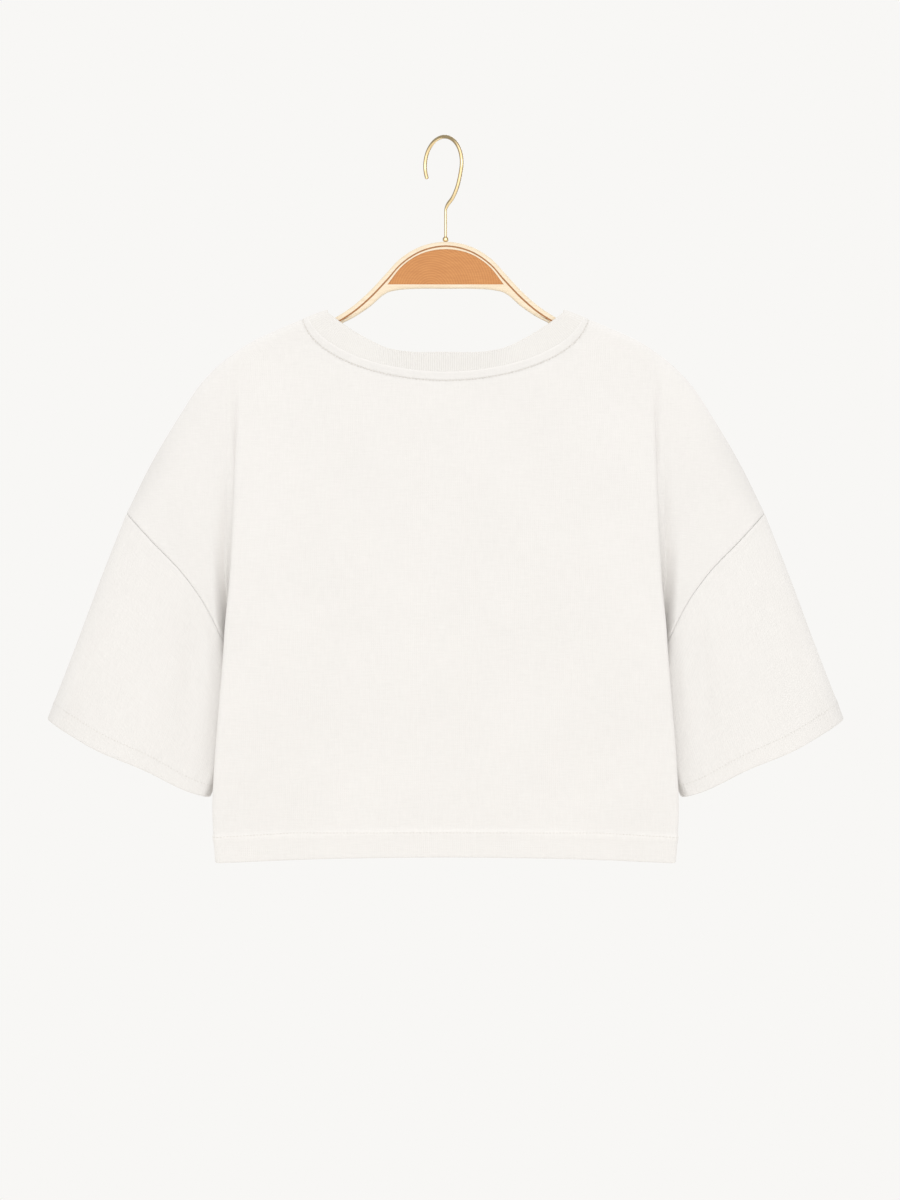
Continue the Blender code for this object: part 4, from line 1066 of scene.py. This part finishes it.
def hangerLines():
    # matching points along the bow, the infill's arch, its foot and the lower bar, then the arm
    carried = offsetCurve(onRidge(np.linspace(hanger["carriesFrom"], hanger["tipX"], 5)),
                          garment["wall"] + hanger["armClearance"])
    top = levelAtMiddle(hanger["top"] + [tuple(p) for p in carried])
    topShare, corner = sharesAlong(top), np.array(hanger["arch"][-1])
    split = np.interp(corner[0], top[:, 0], topShare) - 0.012
    seen = np.interp(hanger["top"][6][0], top[:, 0], topShare)
    low = np.vstack([levelAtMiddle(hanger["low"]),
                     offsetCurve(top, hanger["armThickness"])[topShare > seen + 0.02]])
    lowSplit = np.interp(corner[0], low[:, 0], sharesAlong(low))
    shares = np.linspace(0, 1, hanger["bowStations"] + 1)
    out = np.linspace(0, 1, hanger["armStations"] + 1)[1:]
    topLine, lowLine = (along(chain, np.r_[at * shares, at + (1 - at) * out])
                        for chain, at in ((top, split), (low, lowSplit)))
    foot = np.column_stack([corner[0] * shares, np.full(len(shares), corner[1])])
    return topLine, lowLine, along(levelAtMiddle(hanger["arch"]), shares), foot


def turnSelected(angle, centre, axis="Y"):
    # with no window the operator turns the other way
    bpy.ops.transform.rotate(value=-angle, orient_axis=axis, center_override=centre)


def startSection(kind, **settings):
    bpy.ops.object.select_all(action="DESELECT")
    getattr(bpy.ops.mesh, f"primitive_{kind}_add")(**settings)
    bpy.ops.object.mode_set(mode="EDIT")
    bpy.ops.mesh.select_mode(type="VERT")
    return bpy.context.object


def finishPiece(obj, name, material, smoothAngle=40):
    bpy.ops.mesh.select_all(action="SELECT")
    bpy.ops.mesh.normals_make_consistent(inside=False)
    bpy.ops.object.mode_set(mode="OBJECT")
    obj.name = obj.data.name = name
    obj.data.materials.clear()
    obj.data.materials.append(material)
    bpy.ops.object.transform_apply(location=True, rotation=True, scale=True)
    bpy.ops.object.shade_smooth_by_angle(angle=math.radians(smoothAngle))
    return obj


def sweepStrip(name, pairs, depth, material, rounded=None, roundBy=0.0):
    # an edge is drawn from station to station, turned and sized as it goes, and the flat strip
    # is then pushed through to its depth; pairs are (upper, lower) points in x, z, and rounded
    # is 0 for the strip's upper edges and 1 for its lower ones
    obj = startSection("plane", size=1.0)
    mesh = bmesh.from_edit_mesh(obj.data)
    for vert in mesh.verts:
        vert.select_set(vert.co.x < 0)
    mesh.select_flush_mode()
    bpy.ops.mesh.delete(type="VERT")
    bpy.ops.mesh.select_all(action="SELECT")
    bpy.ops.transform.rotate(value=math.pi / 2, orient_axis="X", center_override=(0.5, 0, 0))
    where, length, angle = np.array((0.5, 0.0)), 1.0, 0.0
    for k, (upper, lower) in enumerate(pairs):
        middle, span = (upper + lower) / 2, upper - lower
        size, heading = float(np.hypot(*span)), math.atan2(span[0], span[1])
        step = (float(middle[0] - where[0]), 0.0, float(middle[1] - where[1]))
        if k == 0:
            bpy.ops.transform.translate(value=(step[0], -depth / 2, step[2]))
        else:
            bpy.ops.mesh.extrude_region_move(TRANSFORM_OT_translate={"value": step})
        centre = (float(middle[0]), -depth / 2, float(middle[1]))
        turnSelected(heading - angle, centre)
        bpy.ops.transform.resize(value=(size / length,) * 3, center_override=centre)
        where, length, angle = middle, size, heading
    bpy.ops.mesh.select_all(action="SELECT")
    bpy.ops.mesh.extrude_region_move(TRANSFORM_OT_translate={"value": (0, depth, 0)})
    bpy.ops.mesh.select_all(action="SELECT")
    bpy.ops.mesh.normals_make_consistent(inside=False)
    if rounded is not None:
        bpy.ops.mesh.select_mode(type="EDGE")
        bpy.ops.mesh.select_all(action="DESELECT")
        mesh = bmesh.from_edit_mesh(obj.data)
        edgeLine = np.array([pair[rounded] for pair in pairs])
        for edge in mesh.edges:
            a, b = (vert.co for vert in edge.verts)
            near = [np.hypot(*(edgeLine - (co.x, co.z)).T).min() for co in (a, b)]
            edge.select_set(bool(abs(a.y - b.y) < 1e-6 and max(near) < 1e-4
                                 and edge.calc_face_angle(0) > 1.0))
        bpy.ops.mesh.bevel(offset=roundBy, segments=4, affect="EDGES")
    return finishPiece(obj, name, material)


def makeHanger():
    topLine, lowLine, archLine, footLine = hangerLines()
    bow = len(archLine)
    across = lowLine - topLine
    across[:bow] = archLine - topLine[:bow]
    square = unit(squareTo(topLine))
    # one metre of it goes one metre below the top line, measured square to that line
    across /= (across * square).sum(axis=1)[:, None]

    def below(distance):
        return topLine + across * distance[:, None]

    def bothSides(upper, lower):
        half = list(zip(upper, lower))
        return [(u * (-1, 1), v * (-1, 1)) for u, v in half[:0:-1]] + half

    outer = np.interp(topLine[:, 0], *zip(*hanger["outerLamina"]))
    veneer = outer + hanger["darkVeneer"]
    toArch = ((archLine - topLine[:bow]) * square[:bow]).sum(axis=1)
    settle = smoothStep(np.arange(1, len(topLine) - bow + 1) / hanger["settleStations"])
    onArm = ((lowLine - topLine) * square).sum(axis=1)[bow:] * hanger["innerOnArm"]
    innerLow = below(np.r_[toArch, toArch[-1] + (onArm - toArch[-1]) * settle])
    innerLow[:bow] = archLine
    lowerTop = np.vstack([footLine, innerLow[bow:]])
    depth, rounding = hanger["depth"], hanger["round"]
    strips = {  # upper and lower line, depth, material, rounded edge and its radius
        "outerLamina": (topLine, below(outer), depth, paleLaminate, 0, rounding),
        "darkVeneer": (below(outer), below(veneer), depth - hanger["veneerSunk"], glueStuff),
        "innerLamina": (below(veneer), innerLow, depth, paleLaminate),
        "lowerLamina": (lowerTop, lowLine, depth, paleLaminate, 1, rounding * 0.8),
    }
    pieces = {name: sweepStrip(name, bothSides(upper, lower), *rest)
              for name, (upper, lower, *rest) in strips.items()}
    gap, lastShare = hanger["infillGap"], 0.992
    arch = along(offsetCurve(levelAtMiddle(hanger["arch"]), gap),
                 np.r_[np.linspace(0, 1, hanger["infillStations"])[:-1], lastShare])
    foot = np.column_stack([arch[:, 0], np.full(len(arch), hanger["arch"][-1][1] + gap)])
    tall = arch[:, 1] > foot[:, 1] + 0.0002
    arch[0, 0] = foot[0, 0] = 0
    return pieces, sweepStrip("infillBlock", bothSides(arch[tall], foot[tall]),
                              hanger["infillDepth"], orangeWood)


hangerPieces, infillBlock = makeHanger()
print("hanger", len(hangerPieces) + 1, "pieces")


# the hook: a ring of points drawn up the stem and round the eye

def makeHook():
    hook = {"wire": 0.00175, "stem": 0.00125, "eye": 0.0256, "eyeShift": -0.0032, "turn": 48,
            "tip": 205, "leave": -12, "ferrule": 0.0027, "kinkZ": -0.0670, "sides": 20,
            "neck": [(0.0020, -0.0632), (0.0107, -0.0561), (0.0187, -0.0463),
                     (0.0230, -0.0369)]}
    wire, stem, kinkZ = hook["wire"], hook["stem"], hook["kinkZ"]
    ball, footZ = hook["ferrule"], hanger["top"][0][1] + 0.0003
    angles = np.radians(np.linspace(hook["leave"], hook["tip"], 56))
    eye = (hook["eyeShift"], wire - hook["eye"]) + hook["eye"] * np.column_stack(
        [np.cos(angles), np.sin(angles)])
    bend = np.array(hook["neck"])
    bend[:, 0] += hook["eyeShift"] * smoothStep((bend[:, 1] - kinkZ) / 0.03)
    neck = along(fineCurve([(-0.0004, kinkZ), *map(tuple, bend), tuple(eye[0])]),
                 np.linspace(0, 1, 26) ** 1.2)
    # stations of the wire: place in the eye's plane and radius, from the ferrule's foot up
    route = [(0, footZ + ball * up, radius) for up, radius in (
        (0, ball * 0.55), (0.18, ball * 0.82), (0.45, ball), (1.05, ball), (1.40, ball * 0.86),
        (1.62, stem * 1.12), (1.85, stem))]
    route += [(0, z, stem) for z in np.linspace(footZ + ball * 2.4, kinkZ - 0.0016, 6)]
    thicken = np.r_[np.linspace(stem, wire, 6), np.full(len(neck), wire)]
    route += [(u, z, radius) for (u, z), radius in zip(neck[1:-1], thicken)]
    route += [(u, z, wire) for u, z in eye]
    # the cut end is rounded over
    ahead = unit(eye[-1] - eye[-2])
    route += [(*(eye[-1] + ahead * wire * past), wire * share) for past, share in
              ((0.25, 0.97), (0.5, 0.87), (0.72, 0.66), (0.84, 0.35))]
    route = [tuple(map(float, station)) for station in route]
    obj = startSection("circle", vertices=hook["sides"], radius=route[0][2], fill_type="NGON")
    bpy.ops.transform.translate(value=(0, 0, footZ))
    heading = 0.0
    for (u, z, radius), (uNext, zNext, radiusNext), after in zip(
            route, route[1:], route[2:] + [None]):
        bpy.ops.mesh.extrude_region_move(
            TRANSFORM_OT_translate={"value": (uNext - u, 0, zNext - z)})
        end = after or (2 * uNext - u, 2 * zNext - z)
        toward = math.atan2(end[0] - u, end[1] - z)
        turnSelected(toward - heading, (uNext, 0, zNext))
        bpy.ops.transform.resize(value=(radiusNext / radius,) * 3,
                                 center_override=(uNext, 0, zNext))
        heading = toward
    bpy.ops.mesh.select_all(action="SELECT")
    turnSelected(-math.radians(hook["turn"]), (0, 0, 0), "Z")
    return finishPiece(obj, "wireHook", goldWire, 60)


wireHook = makeHook()
print("hook done")


# studio

def makeStudio():
    studio = {"floorZ": -1.30, "floorRadius": 1.6, "background": "#F8F7F5", "floor": "#F2F0EC",
              "skyLight": 1.30, "groundLight": 1.02, "flagLight": 0.42, "lampLight": 1.7,
              "lens": 135.0, "centreX": 0.0041, "centreZ": -0.4307, "frameHeight": 1.1196,
              "aim": (0, 0, -0.42)}
    world = bpy.data.worlds.new("paleStudio")
    world.use_nodes = True
    tree = world.node_tree
    seen = addNode(tree, "LightPath", out="Is Camera Ray")
    place = addNode(tree, "TexCoord", out="Generated")
    upward = addNode(tree, "SeparateXYZ", {"Vector": place}, "Z")
    around = addNode(tree, "MapRange", {
        "Value": upward, "From Min": -1.0, "To Min": studio["groundLight"],
        "To Max": studio["skyLight"]})
    strength = addNode(tree, "MapRange", {"Value": seen, "To Min": around, "To Max": 1.0})
    # dark flags beside and behind the object give bright metal its edges
    inFront = addNode(tree, "SeparateXYZ", {"Vector": place}, "Y")
    flags = addNode(tree, "MapRange", {
        "Value": inFront, "From Min": -0.80, "From Max": -0.15, "To Min": studio["lampLight"],
        "To Max": studio["flagLight"]})
    glossy = addNode(tree, "LightPath", out="Is Glossy Ray")
    strength = addNode(tree, "Mix", {"Factor": glossy, "A": strength, "B": flags}, "Result",
                       data_type="FLOAT")
    background = tree.nodes["Background"]
    background.inputs["Color"].default_value = linear(studio["background"])
    tree.links.new(strength, background.inputs["Strength"])
    scene = bpy.context.scene
    scene.world = world
    scene.view_settings.view_transform = "Standard"

    bpy.ops.mesh.primitive_circle_add(vertices=96, radius=studio["floorRadius"],
                                      fill_type="NGON", location=(0, 0, studio["floorZ"]))
    floor = bpy.context.object
    floor.name = "floor"
    floor.data.materials.append(
        newMaterial("paleFloor", Roughness=0.8, Base_Color=linear(studio["floor"]))[0])

    lights = [
        # name, place, size, power, colour
        ("softKey", (-0.35, -4.0, 0.55), 1.8, 13.0, (1.0, 0.99, 0.98)),
        ("softFill", (0.45, -4.0, 0.25), 1.8, 10.0, (1.0, 0.99, 0.98)),
        ("softTop", (0.0, -0.9, 1.7), 1.6, 2.5, (1.0, 1.0, 0.99)),
        ("softBack", (0.6, 3.4, 0.6), 1.6, 16.0, (1.0, 0.99, 0.98)),
    ]
    for name, place, size, power, colour in lights:
        data = bpy.data.lights.new(name, "AREA")
        data.shape, data.size, data.energy, data.color = "DISK", size, power, colour
        light = bpy.data.objects.new(name, data)
        light.location = place
        aim = Vector(studio["aim"]) - Vector(place)
        light.rotation_euler = aim.to_track_quat("-Z", "Y").to_euler()
        scene.collection.objects.link(light)

    data = bpy.data.cameras.new("camera")
    data.lens, data.sensor_width, data.clip_end = studio["lens"], 36.0, 50
    camera = bpy.data.objects.new("camera", data)
    distance = studio["frameHeight"] / data.sensor_width * data.lens
    camera.location = (studio["centreX"], -distance, studio["centreZ"])
    camera.rotation_euler = (math.pi / 2, 0, 0)
    scene.collection.objects.link(camera)
    scene.camera = camera


makeStudio()
print("studio done")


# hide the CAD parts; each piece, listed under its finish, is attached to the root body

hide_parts("back_panel")
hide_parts("front_panel")
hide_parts("left_sleeve")
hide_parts("right_sleeve")
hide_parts("neck_rib")
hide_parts("hanger_frame")
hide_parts("hanger_infill")
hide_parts("hook")
for slotName, pieces in (
        ("pale_laminate", hangerPieces.values()), ("orange_wood", [infillBlock]),
        ("brass_wire", [wireHook]), ("rib_knit", [neckRib]),
        ("jersey", [*panels.values(), *stitches.values()])):
    for piece in pieces:
        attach(piece, "root")
